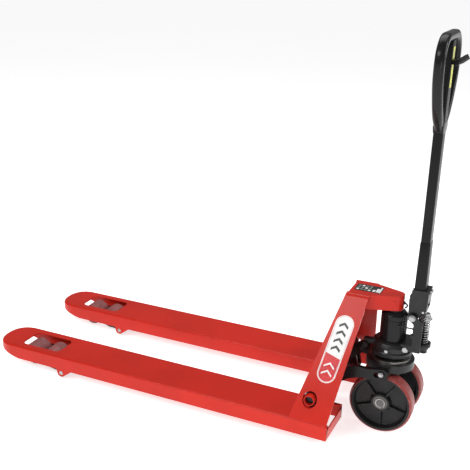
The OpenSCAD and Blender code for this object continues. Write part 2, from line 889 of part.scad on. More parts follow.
module left_bogie() { bogie(); }
module right_bogie() { mirror([0, 1, 0]) bogie(); }

module load_roller(s) {
    bevel = 3;
    x = bogie_x + s * roller_pitch / 2;
    color(tread_red) difference() {
        translate([x, fork_y, bogie_z]) rotate([90, 0, 0]) {
            cylinder(d = roller_d, h = roller_w - 2 * bevel, center = true);
            for (m = [0, 1]) mirror([0, 0, m]) translate([0, 0, roller_w / 2 - bevel])
                cylinder(d1 = roller_d, d2 = roller_d - 2 * bevel, h = bevel);
        }
        pin_y(x, fork_y, bogie_z, 20 + 2 * fit, roller_w + 10);
    }
}

module left_front_roller() { load_roller(-1); }
module left_rear_roller() { load_roller(1); }
module right_front_roller() { mirror([0, 1, 0]) load_roller(-1); }
module right_rear_roller() { mirror([0, 1, 0]) load_roller(1); }

left_fork();
right_fork();
left_leg();
right_leg();
bulkhead();
head();
heel_plates();
side_labels();
head_label();
head_hook();
shaft_bushings();
lever_axles();
ram();
ram_pin();
bearing_seat();
trunnion_bolts();
thrust_bearing();
pump_body();
pump_base();
ram_wiper();
valve_plugs();
plunger_barrel();
tiller_pivot_pin();
wheel_axle();
axle_circlips();
left_wheel_core();
right_wheel_core();
left_wheel_tread();
right_wheel_tread();
left_wheel_bearings();
right_wheel_bearings();
plunger();
spring_cap();
plunger_spring();
release_lever();
tiller_bracket();
bracket_bolts();
tiller_tube();
tiller_loop();
tiller_label();
control_lever();
control_lever_pin();
presser_roller();
roller_pin();
rocker();
crank_pins();
left_push_rod();
right_push_rod();
left_roller_lever();
right_roller_lever();
left_bogie_pin();
right_bogie_pin();
left_bogie();
right_bogie();
left_front_roller();
left_rear_roller();
right_front_roller();
right_rear_roller();
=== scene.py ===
import json
import math

import bmesh
import bpy
from mathutils import Matrix, Vector, noise


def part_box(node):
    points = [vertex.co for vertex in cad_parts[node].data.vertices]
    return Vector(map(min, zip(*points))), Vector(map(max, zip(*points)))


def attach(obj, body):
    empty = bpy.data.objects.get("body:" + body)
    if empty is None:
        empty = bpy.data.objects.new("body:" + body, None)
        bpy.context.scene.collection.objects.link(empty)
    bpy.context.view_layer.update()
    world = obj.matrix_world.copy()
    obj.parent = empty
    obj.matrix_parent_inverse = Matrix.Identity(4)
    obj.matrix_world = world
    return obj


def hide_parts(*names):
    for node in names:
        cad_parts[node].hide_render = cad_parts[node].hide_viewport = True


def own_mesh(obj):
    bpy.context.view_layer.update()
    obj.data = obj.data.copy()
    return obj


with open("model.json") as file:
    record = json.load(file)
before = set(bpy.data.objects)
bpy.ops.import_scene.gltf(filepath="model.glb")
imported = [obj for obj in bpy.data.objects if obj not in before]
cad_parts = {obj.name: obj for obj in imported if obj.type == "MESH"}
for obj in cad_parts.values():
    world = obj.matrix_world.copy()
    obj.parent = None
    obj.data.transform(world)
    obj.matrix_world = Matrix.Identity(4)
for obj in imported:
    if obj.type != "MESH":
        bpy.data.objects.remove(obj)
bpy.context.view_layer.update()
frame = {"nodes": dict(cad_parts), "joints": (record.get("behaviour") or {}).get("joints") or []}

NODES = frame["nodes"]
MM = 0.001


# ---------------------------------------------------------------- places from the frame

def low(node):
    return Vector(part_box(node)[0])


def high(node):
    return Vector(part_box(node)[1])


def mid(node):
    return (low(node) + high(node)) / 2


def size(node):
    return high(node) - low(node)


SIDES = {"left": 1, "right": -1}
STEER_X = mid("wheel_axle").x
AXLE_Z = mid("wheel_axle").z
DECK_Z = high("left_fork").z
HEEL_X = low("bulkhead").x
FORK_Y = mid("left_fork").y
TUBE = mid("tiller_tube")
PLUNGER_X = mid("plunger").x
SHOULDER_Z = high("pump_base").z
CYLINDER_TOP = low("ram_wiper").z
HEAD_TOP = high("head").z
LEG_LEAN = (high("left_fork").y - 62 * MM) / (HEAD_TOP - DECK_Z)
LEG_ANGLE = math.atan(LEG_LEAN)
# turns an outline drawn across and up so that it faces along X
FACING_X = Matrix(((0, 0, 1, 0), (1, 0, 0, 0), (0, 1, 0, 0), (0, 0, 0, 1)))


# ---------------------------------------------------------------- camera, light and floor

def make_camera():
    azimuth, elevation, roll = (math.radians(a) for a in (26.69, 21.42, 0.36))
    back = Vector((math.sin(azimuth) * math.cos(elevation),
                   -math.cos(azimuth) * math.cos(elevation), math.sin(elevation)))
    right = Vector((math.cos(azimuth), math.sin(azimuth), 0))
    up = back.cross(right)
    turn = Matrix((right, up, back)).transposed().to_4x4() @ Matrix.Rotation(roll, 4, "Z")
    data = bpy.data.cameras.new("camera")
    data.lens = 62.15
    data.sensor_width = 36
    data.shift_x = 0.0816
    data.shift_y = 0.0661
    data.clip_end = 60
    camera = bpy.data.objects.new("camera", data)
    camera.matrix_world = Matrix.Translation((HEEL_X + 0.718, -2.336, 1.435)) @ turn
    bpy.context.scene.collection.objects.link(camera)
    bpy.context.scene.camera = camera


def area_light(name, place, target, width, power, tint=(1, 1, 1)):
    data = bpy.data.lights.new(name, "AREA")
    data.shape = "RECTANGLE"
    data.size = width[0]
    data.size_y = width[1]
    data.energy = power
    data.color = tint
    light = bpy.data.objects.new(name, data)
    aim = (Vector(target) - Vector(place)).to_track_quat("-Z", "Y")
    light.matrix_world = Matrix.Translation(place) @ aim.to_matrix().to_4x4()
    bpy.context.scene.collection.objects.link(light)


def make_studio():
    area_light("key", (-1.2, -3.2, 3.4), (0.1, 0, 0.3), (2.2, 1.6), 84)
    area_light("top", (0.0, 1.2, 4.2), (0, 0, 0), (3.6, 2.4), 74)
    area_light("rim", (3.4, 1.0, 2.2), (0.6, 0, 0.5), (1.0, 2.0), 40)
    area_light("front_fill", (2.2, -3.4, 0.9), (0.5, 0, 0.4), (1.2, 1.2), 14)
    world = bpy.data.worlds.new("studio")
    world.use_nodes = True
    background = world.node_tree.nodes["Background"]
    background.inputs["Color"].default_value = (1.0, 1.0, 1.0, 1)
    background.inputs["Strength"].default_value = 0.26
    bpy.context.scene.world = world
    scene = bpy.context.scene
    scene.view_settings.view_transform = "Standard"
    scene.view_settings.look = "None"


def make_floor():
    bm = bmesh.new()
    half = 30.0
    places = ((-half, -half), (half, -half), (half, half), (-half, half))
    bm.faces.new([bm.verts.new((x, y, 0)) for x, y in places])
    floor = new_object("studio_floor", bm)
    floor.data.materials.append(floor_material())


# ---------------------------------------------------------------- shader building

class Shader:
    """A material built from a few linked nodes round one Principled shader."""

    def __init__(self, name, **settings):
        self.material = bpy.data.materials.new(name)
        self.material.use_nodes = True
        self.tree = self.material.node_tree
        self.bsdf = self.tree.nodes["Principled BSDF"]
        for key, value in settings.items():
            socket = key.replace("_", " ").title().replace("Ior", "IOR")
            self.bsdf.inputs[socket].default_value = value
        self.place = self.tree.nodes.new("ShaderNodeTexCoord").outputs["Object"]

    def put(self, socket, value):
        if isinstance(value, bpy.types.NodeSocket):
            self.tree.links.new(value, socket)
        elif isinstance(value, tuple) and len(value) == 3 and socket.type == "RGBA":
            socket.default_value = (*value, 1)
        else:
            socket.default_value = value

    def stretched(self, scale):
        node = self.tree.nodes.new("ShaderNodeMapping")
        self.put(node.inputs["Vector"], self.place)
        node.inputs["Scale"].default_value = scale
        return node.outputs["Vector"]

    def noise(self, scale, detail=3.0, roughness=0.55, stretch=None):
        node = self.tree.nodes.new("ShaderNodeTexNoise")
        self.put(node.inputs["Vector"], self.stretched(stretch) if stretch else self.place)
        node.inputs["Scale"].default_value = scale
        node.inputs["Detail"].default_value = detail
        node.inputs["Roughness"].default_value = roughness
        return node.outputs["Fac"]

    def cells(self, scale):
        node = self.tree.nodes.new("ShaderNodeTexVoronoi")
        self.put(node.inputs["Vector"], self.place)
        node.inputs["Scale"].default_value = scale
        return node.outputs["Distance"]

    def ramp(self, value, start, end, first=0.0, last=1.0):
        node = self.tree.nodes.new("ShaderNodeMapRange")
        node.interpolation_type = "SMOOTHSTEP"
        self.put(node.inputs["Value"], value)
        for key, number in zip(("From Min", "From Max", "To Min", "To Max"), (start, end, first, last)):
            node.inputs[key].default_value = number
        return node.outputs["Result"]

    def math(self, kind, a, b=0.0):
        node = self.tree.nodes.new("ShaderNodeMath")
        node.operation = kind
        self.put(node.inputs[0], a)
        self.put(node.inputs[1], b)
        return node.outputs[0]

    def mix(self, share, a, b):
        node = self.tree.nodes.new("ShaderNodeMix")
        node.data_type = "RGBA"
        self.put(node.inputs["Factor"], share)
        self.put(node.inputs["A"], a)
        self.put(node.inputs["B"], b)
        return node.outputs["Result"]

    def edges(self, radius):
        """1 on a worn edge, 0 on flat ground, from the angle between the true and a rounded normal."""
        bevel = self.tree.nodes.new("ShaderNodeBevel")
        bevel.samples = 4
        bevel.inputs["Radius"].default_value = radius
        geometry = self.tree.nodes.new("ShaderNodeNewGeometry")
        dot = self.tree.nodes.new("ShaderNodeVectorMath")
        dot.operation = "DOT_PRODUCT"
        self.put(dot.inputs[0], bevel.outputs["Normal"])
        self.put(dot.inputs[1], geometry.outputs["Normal"])
        return self.ramp(dot.outputs["Value"], 0.985, 0.86)

    # painted shade: 1 where ambient occlusion finds nearby surfaces (crevices, corners, between parts), 0 in
    # the open; used to darken base colour
    def painted_shade(self, distance):
        node = self.tree.nodes.new("ShaderNodeAmbientOcclusion")
        node.samples = 4
        node.inputs["Distance"].default_value = distance
        return self.ramp(node.outputs["AO"], 0.75, 0.25)

    def bump(self, height, strength, distance):
        node = self.tree.nodes.new("ShaderNodeBump")
        node.inputs["Strength"].default_value = strength
        node.inputs["Distance"].default_value = distance
        self.put(node.inputs["Height"], height)
        if self.bsdf.inputs["Normal"].is_linked:
            self.put(node.inputs["Normal"], self.bsdf.inputs["Normal"].links[0].from_socket)
        self.put(self.bsdf.inputs["Normal"], node.outputs["Normal"])

    def color(self, value):
        self.put(self.bsdf.inputs["Base Color"], value)

    def roughness(self, value):
        self.put(self.bsdf.inputs["Roughness"], value)


def scaled(color, k):
    return tuple(min(1.0, c * k) for c in color)


def paint(name, color, gloss, chip, chip_share, coat=0.08, peel=0.16, shine=0.22):
    """Sprayed and baked enamel: slight cloudiness, orange peel, dust, painted shade in crevices, and paint
    lost on the edges.
    """
    s = Shader(name, coat_weight=coat, coat_roughness=0.12, specular_ior_level=shine)
    cloud = s.ramp(s.noise(5, 4), 0.3, 0.7)
    body = s.mix(cloud, scaled(color, 0.90), scaled(color, 1.07))
    fine = s.ramp(s.noise(240, 2), 0.35, 0.75)
    body = s.mix(s.math("MULTIPLY", fine, 0.10), body, scaled(color, 0.72))
    # painted shade: colour darkened towards 30% of itself where ambient occlusion finds crevices
    body = s.mix(s.math("MULTIPLY", s.painted_shade(0.03), 0.45), body, scaled(color, 0.30))
    lost = s.math("MULTIPLY", s.edges(1.6 * MM),
                  s.ramp(s.noise(110, 5, 0.7), 1 - chip_share, 1.06 - chip_share))
    body = s.mix(lost, body, chip)
    s.color(body)
    scuffs = s.ramp(s.noise(60, 6, 0.75, stretch=(0.15, 1, 1)), 0.55, 0.78)
    rough = s.math("ADD", gloss, s.math("MULTIPLY", scuffs, 0.14))
    s.roughness(s.math("ADD", rough, s.math("MULTIPLY", lost, 0.25)))
    s.bump(s.noise(430, 2, 0.4), peel, 0.0009)
    s.bump(s.noise(38, 3, 0.5), 0.05, 0.003)
    return s.material


def cast_iron(name, color, gloss):
    """Painted casting: the sand grain shows through the paint, and painted shade darkens its crevices."""
    s = Shader(name, coat_weight=0.12, coat_roughness=0.22, specular_ior_level=0.25)
    cloud = s.ramp(s.noise(18, 4), 0.3, 0.7)
    body = s.mix(cloud, scaled(color, 0.75), scaled(color, 1.35))
    # painted shade: colour darkened towards 30% of itself where ambient occlusion finds crevices
    body = s.mix(s.math("MULTIPLY", s.painted_shade(0.02), 0.5), body, scaled(color, 0.3))
    rub = s.math("MULTIPLY", s.edges(1.5 * MM), s.ramp(s.noise(90, 4, 0.7), 0.5, 0.62))
    s.color(s.mix(s.math("MULTIPLY", rub, 0.6), body, (0.13, 0.125, 0.12)))
    s.roughness(s.ramp(s.noise(140, 4), 0.3, 0.7, gloss - 0.07, gloss + 0.12))
    s.bump(s.noise(620, 4, 0.6), 0.30, 0.0011)
    s.bump(s.cells(260), 0.10, 0.0012)
    return s.material


def polyurethane(name, color, rough, dust):
    """Moulded tread: satin, slightly cloudy, with dust picked up from the floor and painted shade in its
    crevices.
    """
    s = Shader(name, specular_ior_level=0.45, subsurface_weight=0.04, subsurface_scale=0.004,
               coat_weight=0.06, coat_roughness=0.4)
    cloud = s.ramp(s.noise(14, 4), 0.3, 0.7)
    body = s.mix(cloud, scaled(color, 0.82), scaled(color, 1.15))
    dusty = s.ramp(s.noise(85, 5, 0.7), 0.45, 0.75)
    body = s.mix(s.math("MULTIPLY", dusty, dust), body, (0.36, 0.27, 0.25))
    # painted shade: colour darkened towards 30% of itself where ambient occlusion finds crevices
    s.color(s.mix(s.math("MULTIPLY", s.painted_shade(0.015), 0.5), body, scaled(color, 0.3)))
    s.roughness(s.ramp(s.noise(160, 4, 0.7), 0.3, 0.7, rough - 0.08, rough + 0.12))
    s.bump(s.noise(360, 4, 0.65), 0.16, 0.0008)
    return s.material


def metal(name, color, rough, grain, tarnish=(0.16, 0.15, 0.13), tarnish_share=0.25):
    """Plated or turned steel, with fine tool marks along grain, dull patches and painted shade in its
    hollows.
    """
    s = Shader(name, metallic=1.0)
    patch = s.ramp(s.noise(60, 5, 0.65), 0.42, 0.72)
    body = s.mix(s.math("MULTIPLY", patch, tarnish_share), color, tarnish)
    # painted shade: colour darkened towards a dim tarnish where ambient occlusion finds hollows
    s.color(s.mix(s.math("MULTIPLY", s.painted_shade(0.008), 0.55), body, scaled(tarnish, 0.35)))
    lines = s.noise(900, 2, 0.5, stretch=grain)
    s.roughness(s.ramp(s.math("ADD", s.math("MULTIPLY", lines, 0.5), s.math("MULTIPLY", patch, 0.5)),
                       0.2, 0.8, rough - 0.08, rough + 0.16))
    s.bump(lines, 0.10, 0.0004)
    return s.material


def plastic(name, color, rough, grain_scale=800, grain=0.12):
    s = Shader(name, specular_ior_level=0.5)
    cloud = s.ramp(s.noise(30, 3), 0.3, 0.7)
    body = s.mix(cloud, scaled(color, 0.9), scaled(color, 1.1))
    # painted shade: colour darkened towards 40% of itself where ambient occlusion finds crevices
    s.color(s.mix(s.math("MULTIPLY", s.painted_shade(0.01), 0.4), body, scaled(color, 0.4)))
    s.roughness(s.ramp(s.noise(200, 3), 0.3, 0.7, rough - 0.05, rough + 0.08))
    s.bump(s.noise(grain_scale, 3, 0.6), grain, 0.0005)
    return s.material


def floor_material():
    s = Shader("studio_floor", specular_ior_level=0.2, emission_color=(1, 1, 1, 1), emission_strength=0.70)
    tone = s.ramp(s.noise(1.2, 2), 0.3, 0.7)
    s.color(s.mix(tone, (0.93, 0.93, 0.93), (0.95, 0.95, 0.95)))
    s.roughness(0.75)
    return s.material


RED = (0.60, 0.017, 0.006)
BLACK = (0.0085, 0.0085, 0.0092)


def make_materials():
    chip = (0.10, 0.085, 0.08)
    return {
        "red_paint": paint("red_paint", RED, 0.30, chip, 0.40),
        "black_paint": paint("black_paint", BLACK, 0.24, (0.07, 0.066, 0.062), 0.36, coat=0.12, shine=0.16),
        "black_tube": paint("black_tube", scaled(BLACK, 1.3), 0.32, (0.08, 0.075, 0.07), 0.36, coat=0.04,
                            shine=0.12),
        "black_cast": cast_iron("black_cast", (0.014, 0.014, 0.0145), 0.34),
        "wheel_cast": cast_iron("wheel_cast", (0.011, 0.011, 0.0115), 0.46),
        "tread": polyurethane("tread", (0.27, 0.030, 0.026), 0.40, 0.30),
        "roller_tread": polyurethane("roller_tread", (0.26, 0.070, 0.070), 0.44, 0.45),
        "zinc": metal("zinc", (0.42, 0.42, 0.43), 0.36, (0.1, 1, 1)),
        "dark_steel": metal("dark_steel", (0.13, 0.125, 0.12), 0.42, (1, 1, 1), tarnish_share=0.6),
        "steel": metal("steel", (0.46, 0.45, 0.43), 0.38, (1, 0.08, 1), tarnish_share=0.5),
        "spring_steel": metal("spring_steel", (0.44, 0.44, 0.45), 0.32, (1, 1, 0.1)),
        "chrome_rod": metal("chrome_rod", (0.85, 0.85, 0.87), 0.10, (1, 1, 0.1), tarnish_share=0.05),
        "rubber_seal": plastic("rubber_seal", (0.012, 0.012, 0.012), 0.62),
        "black_plastic": plastic("black_plastic", (0.016, 0.016, 0.017), 0.42),
        "decal_white": plastic("decal_white", (0.86, 0.86, 0.85), 0.25, 500, 0.04),
        "decal_red": plastic("decal_red", (0.62, 0.012, 0.016), 0.25, 500, 0.04),
        "decal_black": plastic("decal_black", (0.012, 0.012, 0.013), 0.25, 500, 0.04),
        "decal_grey": plastic("decal_grey", (0.22, 0.25, 0.22), 0.28, 500, 0.04),
        "label_yellow": plastic("label_yellow", (0.74, 0.76, 0.012), 0.26, 500, 0.04),
    }


# ---------------------------------------------------------------- mesh building

def new_object(name, bm):
    mesh = bpy.data.meshes.new(name)
    bm.to_mesh(mesh)
    bm.free()
    piece = bpy.data.objects.new(name, mesh)
    bpy.context.scene.collection.objects.link(piece)
    return piece


def smooth(piece, angle=35):
    piece.data.shade_smooth()
    piece.data.set_sharp_from_angle(angle=math.radians(angle))


def applied(piece):
    """Replaces the piece's mesh with what its modifiers make of it."""
    bpy.context.view_layer.update()
    made = bpy.data.meshes.new_from_object(piece.evaluated_get(bpy.context.evaluated_depsgraph_get()))
    piece.modifiers.clear()
    piece.data = made


def true_flats(piece, angle=35):
    """Smooth shading in which the large faces keep their own flat normal."""
    smooth(piece, angle)
    weighted = piece.modifiers.new("flats", "WEIGHTED_NORMAL")
    weighted.keep_sharp = True
    applied(piece)


def rounded_edges(piece, width, segments=3, angle=30):
    bevel = piece.modifiers.new("round", "BEVEL")
    bevel.width = width
    bevel.segments = segments
    bevel.limit_method = "ANGLE"
    bevel.angle_limit = math.radians(angle)
    bevel.use_clamp_overlap = True
    bevel.harden_normals = False
    applied(piece)


def add(piece, body, slot, material, *nodes):
    """Puts a finished piece on its body."""
    if not piece.data.materials:
        piece.data.materials.append(MATERIALS[material])
    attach(piece, body)
    if nodes:
        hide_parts(*nodes)
    return piece


def cad_mesh(node):
    """A copy of a CAD node's shape with its flat faces made whole."""
    bm = bmesh.new()
    bm.from_mesh(NODES[node].data)
    bmesh.ops.remove_doubles(bm, verts=bm.verts, dist=2e-6)
    bmesh.ops.dissolve_limit(bm, angle_limit=math.radians(0.4), verts=bm.verts, edges=bm.edges)
    bmesh.ops.recalc_face_normals(bm, faces=bm.faces)
    return bm


def refined(node, body, slot, material, width=1.0 * MM, segments=3, angle=30, name=None):
    """The CAD shape with its edges rounded as a bent, cast or machined piece has them."""
    piece = new_object(name or node + "_visual", cad_mesh(node))
    rounded_edges(piece, width, segments, angle)
    true_flats(piece)
    return add(piece, body, slot, material, node)


def fillet(points, radius, steps=5):
    """Rounds the corners of a closed outline of (a, b) points; radius is one number or one per corner."""
    made = []
    count = len(points)
    for i, here in enumerate(points):
        r = radius[i] if isinstance(radius, (list, tuple)) else radius
        p = Vector(here)
        before = Vector(points[i - 1]) - p
        after = Vector(points[(i + 1) % count]) - p
        turn = before.angle(after, math.pi)
        if r <= 0 or turn > math.radians(178):
            made.append(tuple(p))
            continue
        reach = min(r / math.tan(turn / 2), 0.49 * before.length, 0.49 * after.length)
        a = p + before.normalized() * reach
        b = p + after.normalized() * reach
        for k in range(steps + 1):
            t = k / steps
            made.append(tuple((1 - t) ** 2 * a + 2 * t * (1 - t) * p + t ** 2 * b))
    return made


def lathe_bm(profile, steps=96):
    """A turned solid: profile is a closed outline of (radius, height) round Z."""
    bm = bmesh.new()
    rings = []
    for r, z in profile:
        if r < 1e-6:
            rings.append([bm.verts.new((0, 0, z))])
            continue
        rings.append([bm.verts.new((r * math.cos(a), r * math.sin(a), z))
                      for a in (2 * math.pi * k / steps for k in range(steps))])
    for i, ring in enumerate(rings):
        after = rings[(i + 1) % len(rings)]
        if len(ring) == 1 and len(after) == 1:
            continue
        for k in range(steps):
            n = (k + 1) % steps
            corners = [ring[k % len(ring)], ring[n % len(ring)], after[n % len(after)], after[k % len(after)]]
            unique = list(dict.fromkeys(corners))
            if len(unique) > 2:
                bm.faces.new(unique)
    bmesh.ops.recalc_face_normals(bm, faces=bm.faces)
    return bm


ALONG = {
    "X": Matrix.Rotation(math.pi / 2, 4, "Y"),
    "Y": Matrix.Rotation(-math.pi / 2, 4, "X"),
    "Z": Matrix.Identity(4),
}


def turned(name, profile, place, axis="Z", steps=96, angle=35):
    bm = lathe_bm(profile, steps)
    bm.transform(Matrix.Translation(place) @ ALONG[axis])
    piece = new_object(name, bm)
    smooth(piece, angle)
    return piece


def prism_bm(outline, depth):
    """A straight solid over an outline in the XY plane, from z = 0 to depth."""
    bm = bmesh.new()
    bottom = [bm.verts.new((x, y, 0)) for x, y in outline]
    top = [bm.verts.new((x, y, depth)) for x, y in outline]
    bm.faces.new(bottom[::-1])
    bm.faces.new(top)
    for i in range(len(outline)):
        n = (i + 1) % len(outline)
        bm.faces.new((bottom[i], bottom[n], top[n], top[i]))
    bmesh.ops.recalc_face_normals(bm, faces=bm.faces)
    return bm


def box_bm(corner_a, corner_b):
    (x0, y0, z0), (x1, y1, z1) = corner_a, corner_b
    bm = prism_bm([(x0, y0), (x1, y0), (x1, y1), (x0, y1)], z1 - z0)
    bm.transform(Matrix.Translation((0, 0, z0)))
    return bm


def joined(name, parts):
    whole = bmesh.new()
    for part in parts:
        mesh = bpy.data.meshes.new("part")
        part.to_mesh(mesh)
        part.free()
        whole.from_mesh(mesh)
        bpy.data.meshes.remove(mesh)
    return new_object(name, whole)


def casting(name, parts, voxel=1.8 * MM, relax=8):
    """Solids melted into one skin with soft fillets, like a sand casting."""
    piece = joined(name, parts)
    remesh = piece.modifiers.new("skin", "REMESH")
    remesh.mode = "VOXEL"
    remesh.voxel_size = voxel
    soft = piece.modifiers.new("soft", "SMOOTH")
    soft.factor = 0.5
    soft.iterations = relax
    applied(piece)
    piece.data.shade_smooth()
    return piece


def sweep_bm(path, section, closed=False):
    """A solid swept along a path in space. section(i) gives the outline at point i, in (side, up)."""
    bm = bmesh.new()
    count = len(path)
    points = [Vector(p) for p in path]
    rings = []
    side = None
    for i, p in enumerate(points):
        ahead = points[(i + 1) % count] if closed or i < count - 1 else p
        behind = points[i - 1] if closed or i > 0 else p
        along = (ahead - behind).normalized()
        if side is None:
            helper = Vector((1, 0, 0)) if abs(along.x) < 0.9 else Vector((0, 1, 0))
            side = (helper - along * helper.dot(along)).normalized()
        side = (side - along * side.dot(along)).normalized()
        up = along.cross(side)
        rings.append([bm.verts.new(p + side * a + up * b) for a, b in section(i)])
    spans = count if closed else count - 1
    for i in range(spans):
        ring, after = rings[i], rings[(i + 1) % count]
        for k in range(len(ring)):
            n = (k + 1) % len(ring)
            bm.faces.new((ring[k], ring[n], after[n], after[k]))
    if not closed:
        bm.faces.new(rings[0][::-1])
        bm.faces.new(rings[-1])
    bmesh.ops.recalc_face_normals(bm, faces=bm.faces)
    return bm


def disc(radius, steps=16):
    return [(radius * math.cos(2 * math.pi * k / steps), radius * math.sin(2 * math.pi * k / steps))
            for k in range(steps)]


def smooth_path(points, steps=8):
    """A Catmull-Rom curve through the points."""
    pts = [Vector(p) for p in points]
    pts = [2 * pts[0] - pts[1]] + pts + [2 * pts[-1] - pts[-2]]
    made = []
    for i in range(1, len(pts) - 2):
        a, b, c, d = pts[i - 1:i + 3]
        for k in range(steps):
            t = k / steps
            made.append(0.5 * (2 * b + (c - a) * t + (2 * a - 5 * b + 4 * c - d) * t ** 2
                               + (3 * b - a - 3 * c + d) * t ** 3))
    made.append(pts[-2])
    return made


def weld_bead(name, start, end, radius, body, ripple=3.2 * MM):
    """A fillet weld: overlapping ripples laid along a seam, painted with the frame."""
    start, end = Vector(start), Vector(end)
    length = (end - start).length
    count = max(12, int(length / (0.9 * MM)))
    path = [start.lerp(end, k / count) for k in range(count + 1)]

    def section(i):
        travel = length * i / count
        wave = 1 + 0.13 * math.sin(2 * math.pi * travel / ripple)
        wander = 1 + 0.16 * noise.noise(Vector((travel * 60, start.y * 10, start.z * 10)))
        taper = min(1.0, 0.35 + min(i, count - i) / 5)
        return disc(radius * wave * wander * taper, 10)

    piece = new_object(name, sweep_bm(path, section))
    piece.data.shade_smooth()
    return add(piece, body, "red_paint", "red_paint")


def bolt_bm(head_d, head_h, stud_d, stud_l, washer_d=0.0, washer_h=1.6 * MM):
    """A hexagon bolt with a chamfered head, standing on z = 0 with its stud below."""
    parts = []
    hexagon = [(head_d / 2 * math.cos(math.pi / 3 * k), head_d / 2 * math.sin(math.pi / 3 * k))
               for k in range(6)]
    head = prism_bm(hexagon, head_h)
    rise = washer_h if washer_d else 0
    head.transform(Matrix.Translation((0, 0, rise)))
    for v in head.verts:
        if v.co.z > rise + head_h / 2:
            v.co.x *= 0.93
            v.co.y *= 0.93
    bmesh.ops.bevel(head, geom=head.edges[:], offset=0.0006, segments=2, affect="EDGES")
    parts.append(head)
    crown = head_d * 0.36
    parts.append(lathe_bm([(0, rise), (crown, rise), (crown, rise + head_h + 0.0001),
                           (crown * 0.92, rise + head_h + 0.0006), (0, rise + head_h + 0.0007)], 32))
    if washer_d:
        ring = fillet([(stud_d / 2, 0), (washer_d / 2, 0), (washer_d / 2, washer_h), (stud_d / 2, washer_h)],
                      0.0004, 2)
        parts.append(lathe_bm(ring, 40))
    if stud_l:
        parts.append(lathe_bm([(0, -stud_l), (stud_d / 2, -stud_l), (stud_d / 2, rise + 0.001),
                               (0, rise + 0.001)], 24))
    return parts


def pointing(place, direction, roll=0.0):
    """A transform that sets +Z along direction, at place."""
    turn = Vector(direction).to_track_quat("Z", "Y").to_matrix().to_4x4()
    return Matrix.Translation(place) @ turn @ Matrix.Rotation(roll, 4, "Z")


def moved(parts, matrix):
    for part in parts:
        part.transform(matrix)
    return parts


# ---------------------------------------------------------------- forks and frame

def make_fork(side):
    """The pressed channel: a wide bend along the deck's outline and fine edges elsewhere."""
    node = side + "_fork"
    bm = cad_mesh(node)
    for vert in bm.verts:
        if 0 < DECK_Z - vert.co.z < 0.5 * MM:
            vert.co.z = DECK_Z
    bmesh.ops.remove_doubles(bm, verts=bm.verts, dist=1e-5)
    bmesh.ops.dissolve_limit(bm, angle_limit=math.radians(0.4), verts=bm.verts, edges=bm.edges)
    weight = bm.edges.layers.float.new("bevel_weight_edge")
    rear_x = high(node).x
    window_lo = low(side + "_front_roller").x - 0.02
    window_hi = high(side + "_rear_roller").x + 0.03
    center_y = mid(node).y
    for edge in bm.edges:
        a, b = (v.co for v in edge.verts)
        on_top = min(a.z, b.z) > DECK_Z - 1e-5
        if not on_top or len(edge.link_faces) != 2:
            continue
        at_rear = min(a.x, b.x) > rear_x - 1e-4
        in_window = abs(a.y - center_y) < 0.052 and window_lo < a.x < window_hi
        in_slot = a.x > HEEL_X + 0.005 and abs(a.y - center_y) < 0.07
        if at_rear or in_window or in_slot:
            edge[weight] = 0.13
        elif edge.calc_face_angle(0) > 1.0:
            edge[weight] = 1.0
    piece = new_object(side + "_fork_shell", bm)
    bend = piece.modifiers.new("bend", "BEVEL")
    bend.width = 7.5 * MM
    bend.segments = 6
    bend.limit_method = "WEIGHT"
    applied(piece)
    rounded_edges(piece, 0.7 * MM, 2, 40)
    true_flats(piece, 30)
    add(piece, "chassis", "red_paint", "red_paint", node)


def make_frame_plates():
    for node in ("left_leg", "right_leg", "bulkhead", "heel_plates"):
        refined(node, "chassis", "red_paint", "red_paint", 1.2 * MM)
    refined("head", "chassis", "red_paint", "red_paint", 1.6 * MM, 4)
    for side, s in SIDES.items():
        edge_y = s * high("left_leg").y
        outer, inner = edge_y - s * 2.4 * MM, edge_y - s * 10.7 * MM
        front, rear = HEEL_X - 1 * MM, HEEL_X + 0.122
        seams = (
            ("leg", (HEEL_X + 2 * MM, outer), (rear, outer), 1.8 * MM),
            ("leg_inner", (HEEL_X + 8 * MM, inner), (rear, inner), 2.6 * MM),
            ("bulkhead", (front, s * (FORK_Y - 0.07)), (front, edge_y * 0.97), 2.6 * MM),
        )
        for seam, start, end, radius in seams:
            weld_bead(f"{side}_{seam}_weld", (*start, DECK_Z), (*end, DECK_Z), radius, "chassis")


def make_bushings():
    """Collars welded into the legs round the ends of the rocker's shaft."""
    lo, hi = low("shaft_bushings"), high("shaft_bushings")
    center = mid("shaft_bushings")
    outer = (hi.z - lo.z) / 2 - 5.5 * MM
    for side, s in SIDES.items():
        y1 = hi.y
        y0 = y1 - 22 * MM
        profile = fillet([(14.1 * MM, 0), (outer, 0), (outer, y1 - y0), (14.1 * MM, y1 - y0)], 1.8 * MM, 4)
        nodes = ("shaft_bushings",) if side == "left" else ()
        piece = turned(f"{side}_shaft_bushing", profile, (center.x, y0 if s > 0 else -y1, center.z), "Y", 64)
        add(piece, "chassis", "red_paint", "red_paint", *nodes)


def make_lever_axles():
    lo, hi = low("lever_axles"), high("lever_axles")
    center = mid("lever_axles")
    r = (hi.z - lo.z) / 2
    width = 2 * (hi.y - FORK_Y)
    profile = fillet([(0, 0), (r, 0), (r, width), (0, width)], [0, 1.4 * MM, 1.4 * MM, 0], 4)
    for side, s in SIDES.items():
        start = s * FORK_Y - width / 2
        nodes = ("lever_axles",) if side == "left" else ()
        piece = turned(f"{side}_lever_axle", profile, (center.x, start, center.z), "Y", 48)
        add(piece, "chassis", "steel", "steel", *nodes)


# ---------------------------------------------------------------- labels

